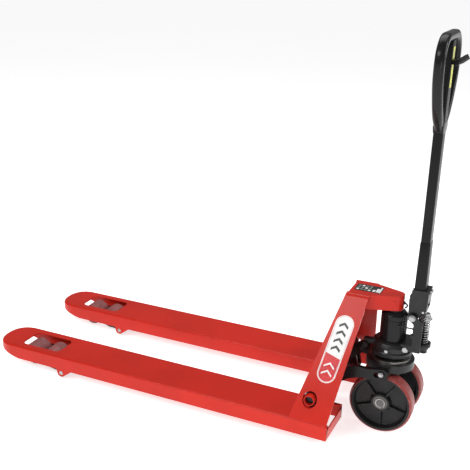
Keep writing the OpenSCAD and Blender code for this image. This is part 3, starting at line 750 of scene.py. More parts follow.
def capsule(width, length, inset=0.0, steps=24):
    """Outline of a round-ended label standing on the origin, its axis along +Y."""
    r = width / 2 - inset
    bottom = [(r * math.cos(a), width / 2 + r * math.sin(a))
              for a in (math.pi + math.pi * k / steps for k in range(steps + 1))]
    top = [(r * math.cos(a), length - width / 2 + r * math.sin(a))
           for a in (math.pi * k / steps for k in range(steps + 1))]
    return bottom + top


def ring_bm(outer, inner, z0, z1):
    """A flat band between two outlines with the same number of points."""
    bm = bmesh.new()
    count = len(outer)
    loops = [[bm.verts.new((x, y, z)) for x, y in outline]
             for outline, z in ((outer, z0), (outer, z1), (inner, z1), (inner, z0))]
    for i in range(count):
        n = (i + 1) % count
        for k in range(4):
            a, b = loops[k], loops[(k + 1) % 4]
            bm.faces.new((a[i], a[n], b[n], b[i]))
    bmesh.ops.recalc_face_normals(bm, faces=bm.faces)
    return bm


def layered(name, layers, matrix):
    """One object from (mesh, material) layers."""
    whole = bmesh.new()
    materials = []
    for bm, material in layers:
        if material not in materials:
            materials.append(material)
        for face in bm.faces:
            face.material_index = materials.index(material)
        mesh = bpy.data.meshes.new("layer")
        bm.to_mesh(mesh)
        bm.free()
        whole.from_mesh(mesh)
        bpy.data.meshes.remove(mesh)
    whole.transform(matrix)
    if matrix.determinant() < 0:
        bmesh.ops.reverse_faces(whole, faces=whole.faces)
    piece = new_object(name, whole)
    for material in materials:
        piece.data.materials.append(MATERIALS[material])
    smooth(piece, 30)
    return piece


def chevron(center_y, span, rise, weight):
    """A V-shaped stripe that points along +Y."""
    h = span / 2
    return [(-h, center_y - rise / 2), (0, center_y + rise / 2), (h, center_y - rise / 2),
            (h, center_y - rise / 2 - weight), (0, center_y + rise / 2 - weight),
            (-h, center_y - rise / 2 - weight)]


def make_side_labels():
    """A round-ended film on each leg: white above, red below, with plain lifting chevrons."""
    width, span = 59 * MM, 159 * MM
    length = span + width
    film, ink = 0.5 * MM, 0.12 * MM
    split = 0.40 * length
    inner = capsule(width, length, 4.6 * MM)
    reach = width / 2 - 4.6 * MM
    red_part = [(-reach, split + 4 * MM)] + [p for p in inner if p[1] < split] + [(reach, split - 4 * MM)]
    for side, s in SIDES.items():
        layers = [(prism_bm(capsule(width, length), film), "decal_white"),
                  (ring_bm(capsule(width, length, 2.6 * MM), capsule(width, length, 3.4 * MM), film * 0.5,
                           film + ink), "decal_red"),
                  (prism_bm(red_part, film + ink), "decal_red")]
        for k in range(2):
            arrow = chevron((0.16 + 0.11 * k) * length, 34 * MM, 13 * MM, 6 * MM)
            layers.append((prism_bm(arrow, film + 2 * ink), "decal_white"))
        for k in range(4):
            arrow = chevron((0.53 + 0.115 * k) * length, 30 * MM, 11 * MM, 9 * MM)
            layers.append((prism_bm(arrow, film + ink), "decal_black"))
        # local X runs along the truck, local Y up the slope of the leg, local Z out of its face
        lift = 159 * MM
        place = Matrix.Translation((HEEL_X + 88.6 * MM, high("left_leg").y, DECK_Z)) \
            @ Matrix.Rotation(LEG_ANGLE, 4, "X") @ Matrix.Translation((0, 0, lift)) \
            @ Matrix.Rotation(-math.pi / 2, 4, "X") @ Matrix.Rotation(math.radians(8.1), 4, "Z") \
            @ Matrix.Diagonal((1, -1, 1, 1)) @ Matrix.Translation((0, -width / 2, 0))
        piece = layered(f"{side}_side_label", layers, Matrix.Diagonal((1, s, 1, 1)) @ place)
        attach(piece, "chassis")
        if side == "left":
            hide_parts("side_labels")


def rectangle(x0, y0, x1, y1):
    return [(x0, y0), (x1, y0), (x1, y1), (x0, y1)]


def make_head_label():
    """The instruction panel on the head: plain blocks on a black film, no lettering."""
    lo, hi = low("head_label"), high("head_label")
    length, width = hi.x - lo.x, hi.y - lo.y
    film, ink = 0.5 * MM, 0.12 * MM
    outline = fillet(rectangle(0, 0, length, width), 3 * MM, 4)
    layers = [(prism_bm(outline, film), "decal_black")]
    margin = 3.5 * MM
    columns, rows = 4, 3
    cell_x = (length * 0.62 - margin) / columns
    cell_y = (width - 2 * margin) / rows
    for i in range(columns):
        for j in range(rows):
            x, y = margin + i * cell_x, margin + j * cell_y
            tone = "decal_grey" if (i + j) % 3 else "decal_white"
            shape = rectangle(x + 1.2 * MM, y + 2.2 * MM, x + cell_x * 0.78, y + cell_y * 0.74)
            layers.append((prism_bm(fillet(shape, 1 * MM, 2), film + ink), tone))
    for j, share in enumerate((0.34, 0.60)):
        x0 = length * (0.66 + 0.13 * j)
        shape = rectangle(x0, margin + 2 * MM, x0 + 0.10 * length, margin + width * share)
        layers.append((prism_bm(fillet(shape, 1 * MM, 2), film + ink), "decal_white"))
    shape = rectangle(length * 0.90, margin, length * 0.965, width - margin)
    layers.append((prism_bm(fillet(shape, 1 * MM, 2), film + ink), "decal_white"))
    piece = layered("head_label_film", layers, Matrix.Translation((lo.x, lo.y, lo.z)))
    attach(piece, "chassis")
    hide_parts("head_label")


def make_tiller_label():
    """A yellow strip down the tiller with short black marks."""
    lo, hi = low("tiller_label"), high("tiller_label")
    length, width = hi.z - lo.z, hi.y - lo.y
    film, ink = 0.5 * MM, 0.12 * MM
    layers = [(prism_bm(fillet(rectangle(0, 0, width, length), 2 * MM, 3), film), "label_yellow")]
    marks = 5
    for k in range(marks):
        y = length * (k + 0.5) / marks
        layers.append((prism_bm(disc_at(width * 0.5, y, 2.6 * MM), film + ink), "decal_black"))
        tick = rectangle(width * 0.22, y - 6.5 * MM, width * 0.78, y - 5.3 * MM)
        layers.append((prism_bm(tick, film + ink), "decal_black"))
    matrix = Matrix.Translation((lo.x, lo.y, lo.z)) @ FACING_X
    piece = layered("tiller_label_film", layers, matrix)
    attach(piece, "tiller")
    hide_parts("tiller_label")


def disc_at(x, y, radius, steps=16):
    return [(x + a, y + b) for a, b in disc(radius, steps)]


# ---------------------------------------------------------------- wheels and rollers

def make_wheel(side):
    body = side + "_wheel"
    lo, hi = low(side + "_wheel_tread"), high(side + "_wheel_tread")
    center = mid(side + "_wheel_tread")
    half_w = (hi.y - lo.y) / 2
    outer_r = (hi.x - lo.x) / 2
    rim_r = size(side + "_wheel_core").x / 2
    bearing_r = size(side + "_wheel_bearings").x / 2

    tread = fillet([(rim_r, -half_w), (outer_r - 5 * MM, -half_w), (outer_r, -half_w + 6 * MM),
                    (outer_r, half_w - 6 * MM), (outer_r - 5 * MM, half_w), (rim_r, half_w)],
                   [0, 4 * MM, 6 * MM, 6 * MM, 4 * MM, 0], 5)
    piece = turned(f"{side}_wheel_tyre", tread, center, "Y", 128)
    add(piece, body, "tread", "tread", side + "_wheel_tread")

    # the casting: rim, dished web and hub, then five ribs on each face
    face = half_w - 0.4 * MM
    rim_in = rim_r - 7 * MM
    web = 6 * MM
    hub_r = bearing_r + 5 * MM
    hub_y = half_w - 4 * MM
    profile = [
        (rim_r, face), (rim_in, face), (rim_in - 5 * MM, web + 3 * MM), (rim_in - 8 * MM, web),
        (hub_r + 5 * MM, web), (hub_r + 1 * MM, hub_y), (bearing_r, hub_y),
        (bearing_r, -hub_y), (hub_r + 1 * MM, -hub_y), (hub_r + 5 * MM, -web),
        (rim_in - 8 * MM, -web), (rim_in - 5 * MM, -web - 3 * MM), (rim_in, -face), (rim_r, -face),
    ]
    radii = [0.8, 1.5, 3, 5, 4, 2.5, 0.8, 0.8, 2.5, 4, 5, 3, 1.5, 0.8]
    core = turned(f"{side}_wheel_casting", fillet(profile, [r * MM for r in radii], 4), center, "Y", 128)
    add(core, body, "black_cast", "wheel_cast", side + "_wheel_core")
    ribs = []
    count = 5
    for i in range(count):
        for face_side in (1, -1):
            rib = prism_bm([(hub_r - 1 * MM, -4.2 * MM), (rim_in - 4 * MM, -2.6 * MM),
                            (rim_in - 4 * MM, 2.6 * MM), (hub_r - 1 * MM, 4.2 * MM)], 13 * MM)
            for v in rib.verts:
                if v.co.z > 6 * MM:
                    v.co.y *= 0.55
                    v.co.z -= (v.co.x - hub_r) / (rim_in - hub_r) * 5 * MM
            bmesh.ops.bevel(rib, geom=rib.edges[:], offset=1.0 * MM, segments=2, affect="EDGES")
            rib.transform(Matrix.Translation((0, 0, web - 1 * MM)))
            if face_side < 0:
                rib.transform(Matrix.Rotation(math.pi, 4, "X"))
            turn = Matrix.Rotation(2 * math.pi * (i + 0.2) / count, 4, "Y")
            rib.transform(Matrix.Translation(center) @ turn @ ALONG["Y"])
            ribs.append(rib)
    ribs_piece = joined(f"{side}_wheel_ribs", ribs)
    smooth(ribs_piece, 30)
    add(ribs_piece, body, "black_cast", "wheel_cast")

    # ball bearings, each with its seal
    axle_r = size("wheel_axle").x / 2 + 0.06 * MM
    for k, y in enumerate((-13, 13)):
        w = 6 * MM
        race = [(axle_r, -w), (axle_r + 4 * MM, -w), (axle_r + 4.4 * MM, -w + 0.8 * MM),
                (bearing_r - 4.4 * MM, -w + 0.8 * MM), (bearing_r - 4 * MM, -w), (bearing_r, -w),
                (bearing_r, w), (bearing_r - 4 * MM, w), (bearing_r - 4.4 * MM, w - 0.8 * MM),
                (axle_r + 4.4 * MM, w - 0.8 * MM), (axle_r + 4 * MM, w), (axle_r, w)]
        nodes = (side + "_wheel_bearings",) if k == 0 else ()
        ball = turned(f"{side}_wheel_bearing_{k}", fillet(race, 0.3 * MM, 2),
                      center + Vector((0, y * MM, 0)), "Y", 64)
        add(ball, body, "steel", "dark_steel", *nodes)


def make_roller(side, place):
    """A load roller: tread moulded on a steel hub with a bearing in each end."""
    node = f"{side}_{place}_roller"
    lo, hi = low(node), high(node)
    center = mid(node)
    r = (hi.x - lo.x) / 2
    w = (hi.y - lo.y) / 2
    hub_r = 27 * MM
    tread = fillet([(hub_r, -w + 1 * MM), (r - 4 * MM, -w), (r, -w + 4 * MM), (r, w - 4 * MM),
                    (r - 4 * MM, w), (hub_r, w - 1 * MM)], [0, 3 * MM, 4 * MM, 4 * MM, 3 * MM, 0], 5)
    piece = turned(f"{node}_tread", tread, center, "Y", 96)
    add(piece, node, "roller_tread", "roller_tread", node)
    bore = 10.1 * MM
    hub = fillet([(bore, -w + 3 * MM), (bore + 5 * MM, -w + 2 * MM), (bore + 6 * MM, -w + 4 * MM),
                  (hub_r - 5 * MM, -w + 4 * MM), (hub_r - 4 * MM, -w + 1.4 * MM), (hub_r, -w + 1.4 * MM),
                  (hub_r, w - 1.4 * MM), (hub_r - 4 * MM, w - 1.4 * MM), (hub_r - 5 * MM, w - 4 * MM),
                  (bore + 6 * MM, w - 4 * MM), (bore + 5 * MM, w - 2 * MM), (bore, w - 3 * MM)], 0.4 * MM, 2)
    core = turned(f"{node}_hub", hub, center, "Y", 72)
    add(core, node, "steel", "steel")


def make_axle_end():
    """Axle with its grooves, and a snap ring with open eyes in each."""
    axle_r = size("wheel_axle").x / 2
    lo, hi = low("wheel_axle"), high("wheel_axle")
    clip_y = mid_abs_y("axle_circlips")
    half = (hi.y - lo.y) / 2
    groove_r = 11 * MM
    profile = [(0, -half), (axle_r, -half), (axle_r, -clip_y - 1 * MM), (groove_r, -clip_y - 1 * MM),
               (groove_r, -clip_y + 1 * MM), (axle_r, -clip_y + 1 * MM), (axle_r, clip_y - 1 * MM),
               (groove_r, clip_y - 1 * MM), (groove_r, clip_y + 1 * MM), (axle_r, clip_y + 1 * MM),
               (axle_r, half), (0, half)]
    radii = [0, 1.2 * MM] + [0] * 8 + [1.2 * MM, 0]
    piece = turned("wheel_axle_shaft", fillet(profile, radii, 3), (STEER_X, 0, AXLE_Z), "Y", 64)
    add(piece, "pump", "steel", "dark_steel", "wheel_axle")
    parts = []
    for s in (1, -1):
        gap = math.radians(26)
        steps = 40
        outer = [(15.5 * MM * math.cos(a), 15.5 * MM * math.sin(a))
                 for a in (gap + (2 * math.pi - 2 * gap) * k / steps for k in range(steps + 1))]
        inner = [(11.1 * MM * math.cos(a), 11.1 * MM * math.sin(a))
                 for a in (2 * math.pi - gap - (2 * math.pi - 2 * gap) * k / steps for k in range(steps + 1))]
        ring = prism_bm(outer + inner, 1.7 * MM)
        eyes = [lathe_bm([(1.1 * MM, 0), (3 * MM, 0), (3 * MM, 1.7 * MM), (1.1 * MM, 1.7 * MM)], 20)
                for _ in range(2)]
        for eye, a in zip(eyes, (gap, -gap)):
            eye.transform(Matrix.Translation((14.6 * MM * math.cos(a), 14.6 * MM * math.sin(a), 0)))
        base = Matrix.Translation((STEER_X, s * clip_y - 0.85 * MM, AXLE_Z)) @ ALONG["Y"] \
            @ Matrix.Rotation(math.radians(60), 4, "Z")
        parts += moved([ring] + eyes, base)
    clips = joined("snap_rings", parts)
    smooth(clips, 30)
    add(clips, "pump", "zinc", "zinc", "axle_circlips")


def mid_abs_y(node):
    """Height above the middle plane of a mirrored pair of thin pieces."""
    return high(node).y - 0.9 * MM


# ---------------------------------------------------------------- pump

def make_pump():
    r = 41 * MM
    base_z = SHOULDER_Z + 34 * MM
    # cylinder: turned tube with a weld collar at its foot and a screwed gland on top
    profile = [(18 * MM, base_z), (r + 3 * MM, base_z), (r + 3 * MM, base_z + 6 * MM), (r, base_z + 9 * MM),
               (r, CYLINDER_TOP - 26 * MM), (r - 1.2 * MM, CYLINDER_TOP - 25 * MM),
               (r - 1.2 * MM, CYLINDER_TOP - 23.5 * MM), (r, CYLINDER_TOP - 22.5 * MM),
               (r, CYLINDER_TOP - 9 * MM), (r - 9 * MM, CYLINDER_TOP), (18 * MM, CYLINDER_TOP)]
    radii = [0, 1.5, 2.5, 2, 0.5, 0.4, 0.4, 0.5, 5, 4, 0.8]
    tube = turned("pump_cylinder", fillet(profile, [x * MM for x in radii], 5), (STEER_X, 0, 0), "Z", 128)
    add(tube, "pump", "black_paint", "black_paint", "pump_body")

    # body casting: a bulged drum with two bands, the block of the small pump and the ears of the tiller
    z0 = SHOULDER_Z
    drum = [(18 * MM, z0), (60 * MM, z0), (65.5 * MM, z0 + 5 * MM), (65.5 * MM, z0 + 13 * MM),
            (61 * MM, z0 + 17 * MM), (62 * MM, z0 + 21 * MM), (62 * MM, z0 + 31 * MM),
            (56 * MM, z0 + 42 * MM), (46 * MM, z0 + 46 * MM), (18 * MM, z0 + 46 * MM)]
    parts = [moved([lathe_bm(fillet(drum, 2.5 * MM, 3), 96)], Matrix.Translation((STEER_X, 0, 0)))[0]]
    # block of the hand pump, with the socket of its barrel
    block_lo, block_hi = z0 + 27 * MM, z0 + 48 * MM
    outline = fillet(rectangle(STEER_X + 20 * MM, -24 * MM, PLUNGER_X - 4 * MM, 24 * MM), 3 * MM, 3)
    block = prism_bm(outline, block_hi - block_lo)
    block.transform(Matrix.Translation((0, 0, block_lo)))
    parts.append(block)
    socket = [(0, block_lo), (14 * MM, block_lo), (16 * MM, block_lo + 3 * MM), (16 * MM, block_lo + 8 * MM),
              (22 * MM, block_lo + 11 * MM), (22 * MM, block_hi), (0, block_hi)]
    parts += moved([lathe_bm(socket, 64)], Matrix.Translation((PLUNGER_X, 0, 0)))
    # ears of the tiller: a foot on the block, a column set back from the cylinder, and an eye
    pivot = mid("tiller_pivot_pin")
    for s in (1, -1):
        foot = fillet([(pivot.x - 28 * MM, s * 20 * MM), (pivot.x + 34 * MM, s * 20 * MM),
                       (pivot.x + 34 * MM, s * 41 * MM), (pivot.x - 28 * MM, s * 41 * MM)], 4 * MM, 4)
        base = prism_bm(foot, block_hi - block_lo)
        base.transform(Matrix.Translation((0, 0, block_lo)))
        parts.append(base)
        ear = [(pivot.x + 6 * MM, block_hi - 6 * MM), (pivot.x + 34 * MM, block_hi - 6 * MM),
               (pivot.x + 34 * MM, pivot.z - 17 * MM), (pivot.x + 8 * MM, pivot.z + 10 * MM),
               (pivot.x - 8 * MM, pivot.z - 8 * MM), (pivot.x + 6 * MM, pivot.z - 20 * MM)]
        stand = Matrix.Translation((0, 41 * MM if s > 0 else -33 * MM, 0)) \
            @ Matrix.Rotation(math.pi / 2, 4, "X")
        parts += moved([prism_bm(fillet(ear, 4 * MM, 4), 8 * MM)], stand)
        eye = lathe_bm([(0, -4 * MM), (13 * MM, -4 * MM), (13 * MM, 4 * MM), (0, 4 * MM)], 48)
        parts += moved([eye], Matrix.Translation((pivot.x, s * 37 * MM, pivot.z)) @ ALONG["Y"])
    rod = lathe_bm([(0, 0), (2.5 * MM, 0), (2.5 * MM, 54 * MM), (0, 54 * MM)], 24)
    parts += moved([rod], Matrix.Translation((STEER_X + 15 * MM, -37 * MM, pivot.z - 35 * MM)) @ ALONG["X"])
    knob = lathe_bm([(0, -6 * MM), (6.5 * MM, -6 * MM), (6.5 * MM, 6 * MM), (0, 6 * MM)], 32)
    parts += moved([knob], Matrix.Translation((pivot.x + 4 * MM, -38 * MM, pivot.z - 59 * MM)) @ ALONG["Y"])
    # boss of the release valve, on the fork side
    parts.append(box_bm((STEER_X - 82 * MM, -37 * MM, z0 + 27 * MM),
                        (STEER_X - 34 * MM, -18 * MM, z0 + 43 * MM)))
    body = casting("pump_casting", parts, 1.5 * MM, 6)
    add(body, "pump", "black_paint", "black_cast")


def make_pump_foot():
    """The fork-shaped foot below the bearing seat, down to the axle."""
    z0 = AXLE_Z
    neck = [(18 * MM, 150 * MM), (30 * MM, 150 * MM), (42 * MM, 198 * MM), (42 * MM, SHOULDER_Z - 1 * MM),
            (66 * MM, SHOULDER_Z), (66 * MM, SHOULDER_Z + 6 * MM), (18 * MM, SHOULDER_Z + 6 * MM)]
    parts = [moved([lathe_bm(neck, 96)], Matrix.Translation((STEER_X, 0, 0)))[0]]
    leg = fillet([(-26 * MM, z0 - 4 * MM), (26 * MM, z0 - 4 * MM), (34 * MM, 202 * MM), (-34 * MM, 202 * MM)],
                 4 * MM, 3)
    plate = prism_bm(leg, 52 * MM)
    plate.transform(Matrix.Translation((STEER_X, 26 * MM, 0)) @ Matrix.Rotation(math.pi / 2, 4, "X"))
    parts.append(plate)
    boss = lathe_bm(fillet([(0, -37.4 * MM), (26 * MM, -37.4 * MM), (26 * MM, 37.4 * MM), (0, 37.4 * MM)],
                           [0, 3 * MM, 3 * MM, 0], 3), 64)
    boss.transform(Matrix.Translation((STEER_X, 0, z0)) @ ALONG["Y"])
    parts.append(boss)
    foot = casting("pump_foot_casting", parts, 1.8 * MM, 8)
    add(foot, "pump", "black_paint", "black_cast", "pump_base")


def make_hand_pump():
    """Spring seat on the plunger's guide tube, coil spring and silver cap."""
    center = mid("spring_cap")
    cap_lo, cap_hi = low("spring_cap").z, high("spring_cap").z
    flange_r = size("spring_cap").x / 2
    cap = [(9.3 * MM, cap_lo), (flange_r, cap_lo), (flange_r, cap_lo + 3.4 * MM),
           (15.3 * MM, cap_lo + 4.6 * MM), (13.2 * MM, cap_hi - 7.4 * MM), (11 * MM, cap_hi - 6.8 * MM),
           (10.8 * MM, cap_hi), (0, cap_hi), (0, cap_hi - 4 * MM), (9.3 * MM, cap_hi - 4 * MM)]
    radii = [0.4, 1.4, 1.2, 2, 2.5, 0.8, 1.6, 0, 0, 0.4]
    piece = turned("spring_cap_turned", fillet(cap, [x * MM for x in radii], 4), (center.x, 0, 0), "Z", 64)
    add(piece, "plunger_group", "zinc", "zinc", "spring_cap")
    barrel_lo, barrel_hi = low("plunger_barrel").z, high("plunger_barrel").z
    seat = SHOULDER_Z + 48 * MM
    barrel = [(7.1 * MM, barrel_lo), (12.9 * MM, barrel_lo), (12.9 * MM, seat - 0.5 * MM),
              (21.8 * MM, seat + 0.2 * MM), (21.8 * MM, seat + 3.9 * MM), (8.7 * MM, seat + 3.9 * MM),
              (8.7 * MM, barrel_hi), (7.1 * MM, barrel_hi)]
    tube = turned("plunger_guide", fillet(barrel, 0.6 * MM, 3), (center.x, 0, 0), "Z", 64)
    add(tube, "pump", "black_paint", "black_paint", "plunger_barrel")
    # the coil, with its end turns ground flat
    wire = 1.75 * MM
    coil_r = 11.2 * MM
    z_lo = low("plunger_spring").z + wire
    z_hi = high("plunger_spring").z - wire
    turns = 11.5
    steps = int(turns * 36)

    def height(t):
        """Dead turns at both ends, even pitch between."""
        dead = 0.9 / turns
        share = min(1.0, max(0.0, (t - dead) / (1 - 2 * dead)))
        flat = 2 * wire * min(t, dead) / dead * 0.92
        flat_end = 2 * wire * max(0.0, t - (1 - dead)) / dead * 0.92
        return z_lo + flat + flat_end + share * (z_hi - z_lo - 4 * wire * 0.92)

    path = [(center.x + coil_r * math.cos(2 * math.pi * turns * k / steps),
             coil_r * math.sin(2 * math.pi * turns * k / steps), height(k / steps)) for k in range(steps + 1)]
    coil = new_object("plunger_coil", sweep_bm(path, lambda i: disc(wire, 12)))
    coil.data.shade_smooth()
    add(coil, "pump", "steel", "spring_steel", "plunger_spring")
    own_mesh(coil)


def make_pump_fasteners():
    """Valve plugs, tiller pivot bolt and the bolts of the trunnions."""
    plug_z = SHOULDER_Z + 32 * MM
    parts = []
    for s in (1, -1):
        parts += moved(bolt_bm(20 * MM, 6 * MM, 11 * MM, 12 * MM, 21.8 * MM),
                       pointing((STEER_X + 50 * MM, s * 38.2 * MM, plug_z), (0, s, 0), 0.3))
    parts += moved(bolt_bm(13 * MM, 6 * MM, 9 * MM, 6 * MM, 13.8 * MM),
                   pointing((STEER_X - 2 * MM, -59.5 * MM, plug_z - 8 * MM), (0, -1, 0), 0.1))
    plugs = joined("valve_plug_set", parts)
    smooth(plugs, 30)
    add(plugs, "pump", "zinc", "zinc", "valve_plugs")

    pivot = mid("tiller_pivot_pin")
    parts = []
    for s in (1, -1):
        parts += moved(bolt_bm(18 * MM, 3.6 * MM, 15.9 * MM, 0, 20.8 * MM, 1.2 * MM),
                       pointing((pivot.x, s * 41.1 * MM, pivot.z), (0, s, 0), 0.2))
    pin = joined("tiller_pivot_bolt", parts)
    smooth(pin, 30)
    shaft = turned("tiller_pivot_shaft", [(0, -41 * MM), (8 * MM, -41 * MM), (8 * MM, 41 * MM), (0, 41 * MM)],
                   (pivot.x, 0, pivot.z), "Y", 48)
    add(pin, "pump", "zinc", "zinc", "tiller_pivot_pin")
    add(shaft, "pump", "steel", "steel")

    bolt = mid("trunnion_bolts")
    reach = high("trunnion_bolts").y
    parts, washers = [], []
    for s in (1, -1):
        parts += moved(bolt_bm(14 * MM, 3.0 * MM, 8 * MM, 3 * MM, 15.5 * MM, 0.6 * MM),
                       pointing((bolt.x, s * (reach - 3.7 * MM), bolt.z), (0, s, 0), 0.4))
        disk = fillet([(0, -40 * MM), (6.9 * MM, -40 * MM), (6.9 * MM, -0.1 * MM), (11.4 * MM, 0),
                       (11.4 * MM, 1.2 * MM), (0, 1.2 * MM)], [0, 0, 0, 0.3 * MM, 0.5 * MM, 0], 2)
        washers += moved([lathe_bm(disk, 48)], pointing((bolt.x, s * (reach - 4.9 * MM), bolt.z), (0, s, 0)))
    heads = joined("trunnion_bolt_pair", parts)
    smooth(heads, 30)
    add(heads, "seat", "zinc", "zinc", "trunnion_bolts")
    plates = joined("trunnion_washers", washers)
    smooth(plates, 30)
    add(plates, "seat", "black_paint", "black_paint")


# ---------------------------------------------------------------- tiller

def rounded_section(a, b, r, steps=4):
    return fillet([(-a / 2, -b / 2), (a / 2, -b / 2), (a / 2, b / 2), (-a / 2, b / 2)], r, steps)


def make_tiller_tube():
    lo, hi = low("tiller_tube"), high("tiller_tube")
    a, b = hi.x - lo.x, hi.y - lo.y
    bm = prism_bm(rounded_section(a, b, 5 * MM, 5), hi.z - lo.z)
    bm.transform(Matrix.Translation((TUBE.x, 0, lo.z)))
    piece = new_object("tiller_tube_section", bm)
    rounded_edges(piece, 0.8 * MM, 2, 60)
    smooth(piece, 30)
    add(piece, "tiller", "black_paint", "black_tube", "tiller_tube")
    # socket at the foot: a slightly wider sleeve that narrows upwards
    foot_z = low("tiller_tube").z + 21 * MM
    top_z = foot_z + 150 * MM
    rings = []
    bm = bmesh.new()
    for z, grow in ((foot_z, 3.4), (foot_z + 60 * MM, 2.9), (top_z - 3 * MM, 1.4), (top_z, 0.4)):
        outline = rounded_section(a + 2 * grow * MM, b + 2 * grow * MM, (5 + grow) * MM, 5)
        rings.append([bm.verts.new((TUBE.x + x, y, z)) for x, y in outline])
    for ring, after in zip(rings, rings[1:]):
        for k in range(len(ring)):
            n = (k + 1) % len(ring)
            bm.faces.new((ring[k], ring[n], after[n], after[k]))
    bm.faces.new(rings[0][::-1])
    bm.faces.new(rings[-1])
    bmesh.ops.recalc_face_normals(bm, faces=bm.faces)
    sleeve = new_object("tiller_sleeve", bm)
    smooth(sleeve, 30)
    add(sleeve, "tiller", "black_paint", "black_tube")


def loop_route():
    """Centre line of the grip loop, from the tube up the left arm, over the top and down the right."""
    lo, hi = low("tiller_loop"), high("tiller_loop")
    d = 28.4 * MM
    half_w = (hi.y - lo.y - d - 0.6 * MM) / 2
    top_z = hi.z - d / 2 - 0.3 * MM
    yoke_z = lo.z + d / 2 + 0.3 * MM
    corner = 62 * MM
    flank = [(16 * MM, yoke_z + 2 * MM), (24 * MM, yoke_z + 12 * MM), (0.45 * half_w, yoke_z + 42 * MM),
             (0.67 * half_w, yoke_z + 76 * MM), (0.93 * half_w, yoke_z + 136 * MM),
             (half_w, top_z - corner - 12 * MM)]
    arc = [(half_w - corner * (1 - math.cos(a)), top_z - corner * (1 - math.sin(a)))
           for a in (math.pi / 2 * k / 6 for k in range(1, 7))]
    arm = flank + arc + [(0.0, top_z)]
    points = [(TUBE.x, y, z) for y, z in arm] + [(TUBE.x, -y, z) for y, z in reversed(arm[:-1])]
    return smooth_path(points, 7), d


def make_loop():
    """The grip: a moulded bar, slightly wider fore and aft, with a soft ridge round its outside."""
    route, d = loop_route()
    count = len(route)

    def section(i):
        end = min(i, count - 1 - i) / 14
        swell = 1.0 - 0.25 * max(0.0, 1 - end)
        a, b = d / 2 * swell, d / 2 * 0.90 * swell
        made = []
        for k in range(28):
            t = 2 * math.pi * k / 28
            c, s = math.cos(t), math.sin(t)
            power = 0.72
            made.append((a * math.copysign(abs(c) ** power, c), b * math.copysign(abs(s) ** power, s)))
        return made

    piece = new_object("grip_loop", sweep_bm(route, section))
    smooth(piece, 40)
    add(piece, "tiller", "black_paint", "black_paint", "tiller_loop")
    # web that fills the crotch between the tube and the arms
    yoke_z = low("tiller_loop").z + 6 * MM
    outline = fillet([(-33 * MM, yoke_z + 20 * MM), (-22 * MM, yoke_z), (22 * MM, yoke_z),
                      (33 * MM, yoke_z + 20 * MM), (24 * MM, yoke_z + 34 * MM), (-24 * MM, yoke_z + 34 * MM)],
                     6 * MM, 4)
    web = prism_bm(outline, 30 * MM)
    web.transform(Matrix.Translation((TUBE.x - 15 * MM, 0, 0)) @ FACING_X)
    yoke = new_object("grip_yoke", web)
    rounded_edges(yoke, 3 * MM, 3, 40)
    smooth(yoke, 35)
    add(yoke, "tiller", "black_paint", "black_paint")


def make_control_lever():
    """A thumb lever with a turned-up tip on its pivot ears."""
    hi = high("control_lever")
    pivot = mid("control_lever_pin")
    root = Vector((pivot.x + 3 * MM, 0, pivot.z))
    tip = Vector((hi.x - 5 * MM, 0, hi.z - 5 * MM))
    route = smooth_path([root, root.lerp(tip, 0.4) + Vector((0, 0, -1.5 * MM)), root.lerp(tip, 0.8), tip], 6)
    count = len(route)

    def section(i):
        t = i / (count - 1)
        a, b = (9 - 1.5 * t) * MM, (6.0 - 1.6 * t) * MM
        return [(b * math.copysign(abs(math.cos(q)) ** 0.7, math.cos(q)),
                 a * math.copysign(abs(math.sin(q)) ** 0.7, math.sin(q)))
                for q in (2 * math.pi * k / 24 for k in range(24))]

    arm = sweep_bm(route, section)
    hub = lathe_bm(fillet([(3.06 * MM, -11.8 * MM), (8.8 * MM, -11.8 * MM), (8.8 * MM, 11.8 * MM),
                           (3.06 * MM, 11.8 * MM)], 1.0 * MM, 3), 40)
    hub.transform(Matrix.Translation((pivot_axis().x, 0, pivot_axis().z)) @ ALONG["Y"])
    piece = joined("control_lever_arm", [arm, hub])
    smooth(piece, 40)
    add(piece, "control_lever", "black_plastic", "black_plastic", "control_lever")


def pivot_axis():
    joint = [j for j in frame["joints"] if j["name"] == "control_lever_tilt"][0]
    return Vector(joint["pos_m"])


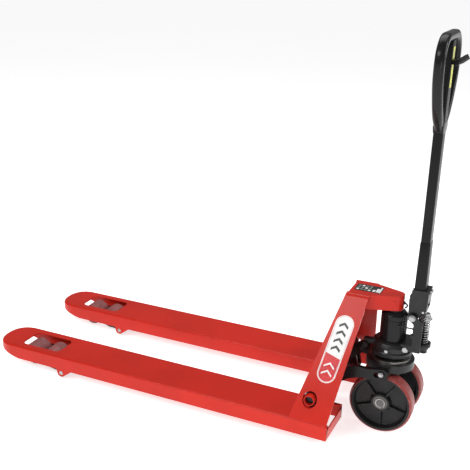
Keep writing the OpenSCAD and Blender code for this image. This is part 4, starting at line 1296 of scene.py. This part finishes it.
def make_bracket_bolts():
    lo, hi = low("bracket_bolts"), high("bracket_bolts")
    z = (lo.z + hi.z) / 2
    length = hi.x - lo.x - 11.6 * MM
    parts = []
    for y in (-11 * MM, 11 * MM):
        parts += moved(bolt_bm(13.6 * MM, 4.4 * MM, 8 * MM, length, 13.9 * MM, 1.1 * MM),
                       pointing((hi.x - 5.8 * MM, y, z), (1, 0, 0), 0.3))
        parts += moved(bolt_bm(13.6 * MM, 4.4 * MM, 8 * MM, 0, 13.9 * MM, 1.1 * MM),
                       pointing((lo.x + 5.8 * MM, y, z), (-1, 0, 0), 0.1))
    piece = joined("bracket_bolt_set", parts)
    smooth(piece, 30)
    add(piece, "tiller", "zinc", "zinc", "bracket_bolts")


# ---------------------------------------------------------------- build

make_camera()
make_studio()
MATERIALS = make_materials()
make_floor()

for side_name in SIDES:
    make_fork(side_name)
    make_wheel(side_name)
    for roller_place in ("front", "rear"):
        make_roller(side_name, roller_place)
make_frame_plates()
make_bushings()
make_lever_axles()
make_side_labels()
make_head_label()
make_tiller_label()
make_axle_end()
make_pump()
make_pump_foot()
make_hand_pump()
make_pump_fasteners()
make_tiller_tube()
make_loop()
make_control_lever()
make_bracket_bolts()

refined("head_hook", "chassis", "black_paint", "black_paint", 0.4 * MM)
refined("bearing_seat", "seat", "black_paint", "black_cast", 2.2 * MM, 4)
refined("release_lever", "release_lever", "black_paint", "black_cast", 2.0 * MM, 3)
refined("tiller_bracket", "tiller", "black_paint", "black_cast", 2.0 * MM, 4)
refined("control_lever_pin", "tiller", "zinc", "black_paint", 0.6 * MM)
refined("presser_roller", "presser_roller", "zinc", "zinc", 1.0 * MM)
refined("roller_pin", "tiller", "zinc", "zinc", 0.8 * MM)
refined("rocker", "rocker", "black_paint", "black_paint", 1.6 * MM, 3)
refined("crank_pins", "rocker", "steel", "steel", 0.8 * MM)
refined("ram_wiper", "pump", "rubber_seal", "rubber_seal", 0.8 * MM)
refined("plunger", "plunger_group", "steel", "steel", 0.8 * MM)
for side_name in SIDES:
    refined(side_name + "_push_rod", side_name + "_push_rod", "black_paint", "black_paint", 1.0 * MM)
    refined(side_name + "_roller_lever", side_name + "_roller_lever", "black_paint", "black_cast", 1.2 * MM)
    refined(side_name + "_bogie_pin", side_name + "_bogie_pin", "steel", "steel", 0.8 * MM)
    refined(side_name + "_bogie", side_name + "_bogie", "black_paint", "black_paint", 1.0 * MM)

CARRIED_OVER = {"ram": "chrome_rod", "ram_pin": "red_paint", "thrust_bearing": "steel"}
for cad_node, finish in CARRIED_OVER.items():
    NODES[cad_node].data.materials.clear()
    NODES[cad_node].data.materials.append(MATERIALS[finish])
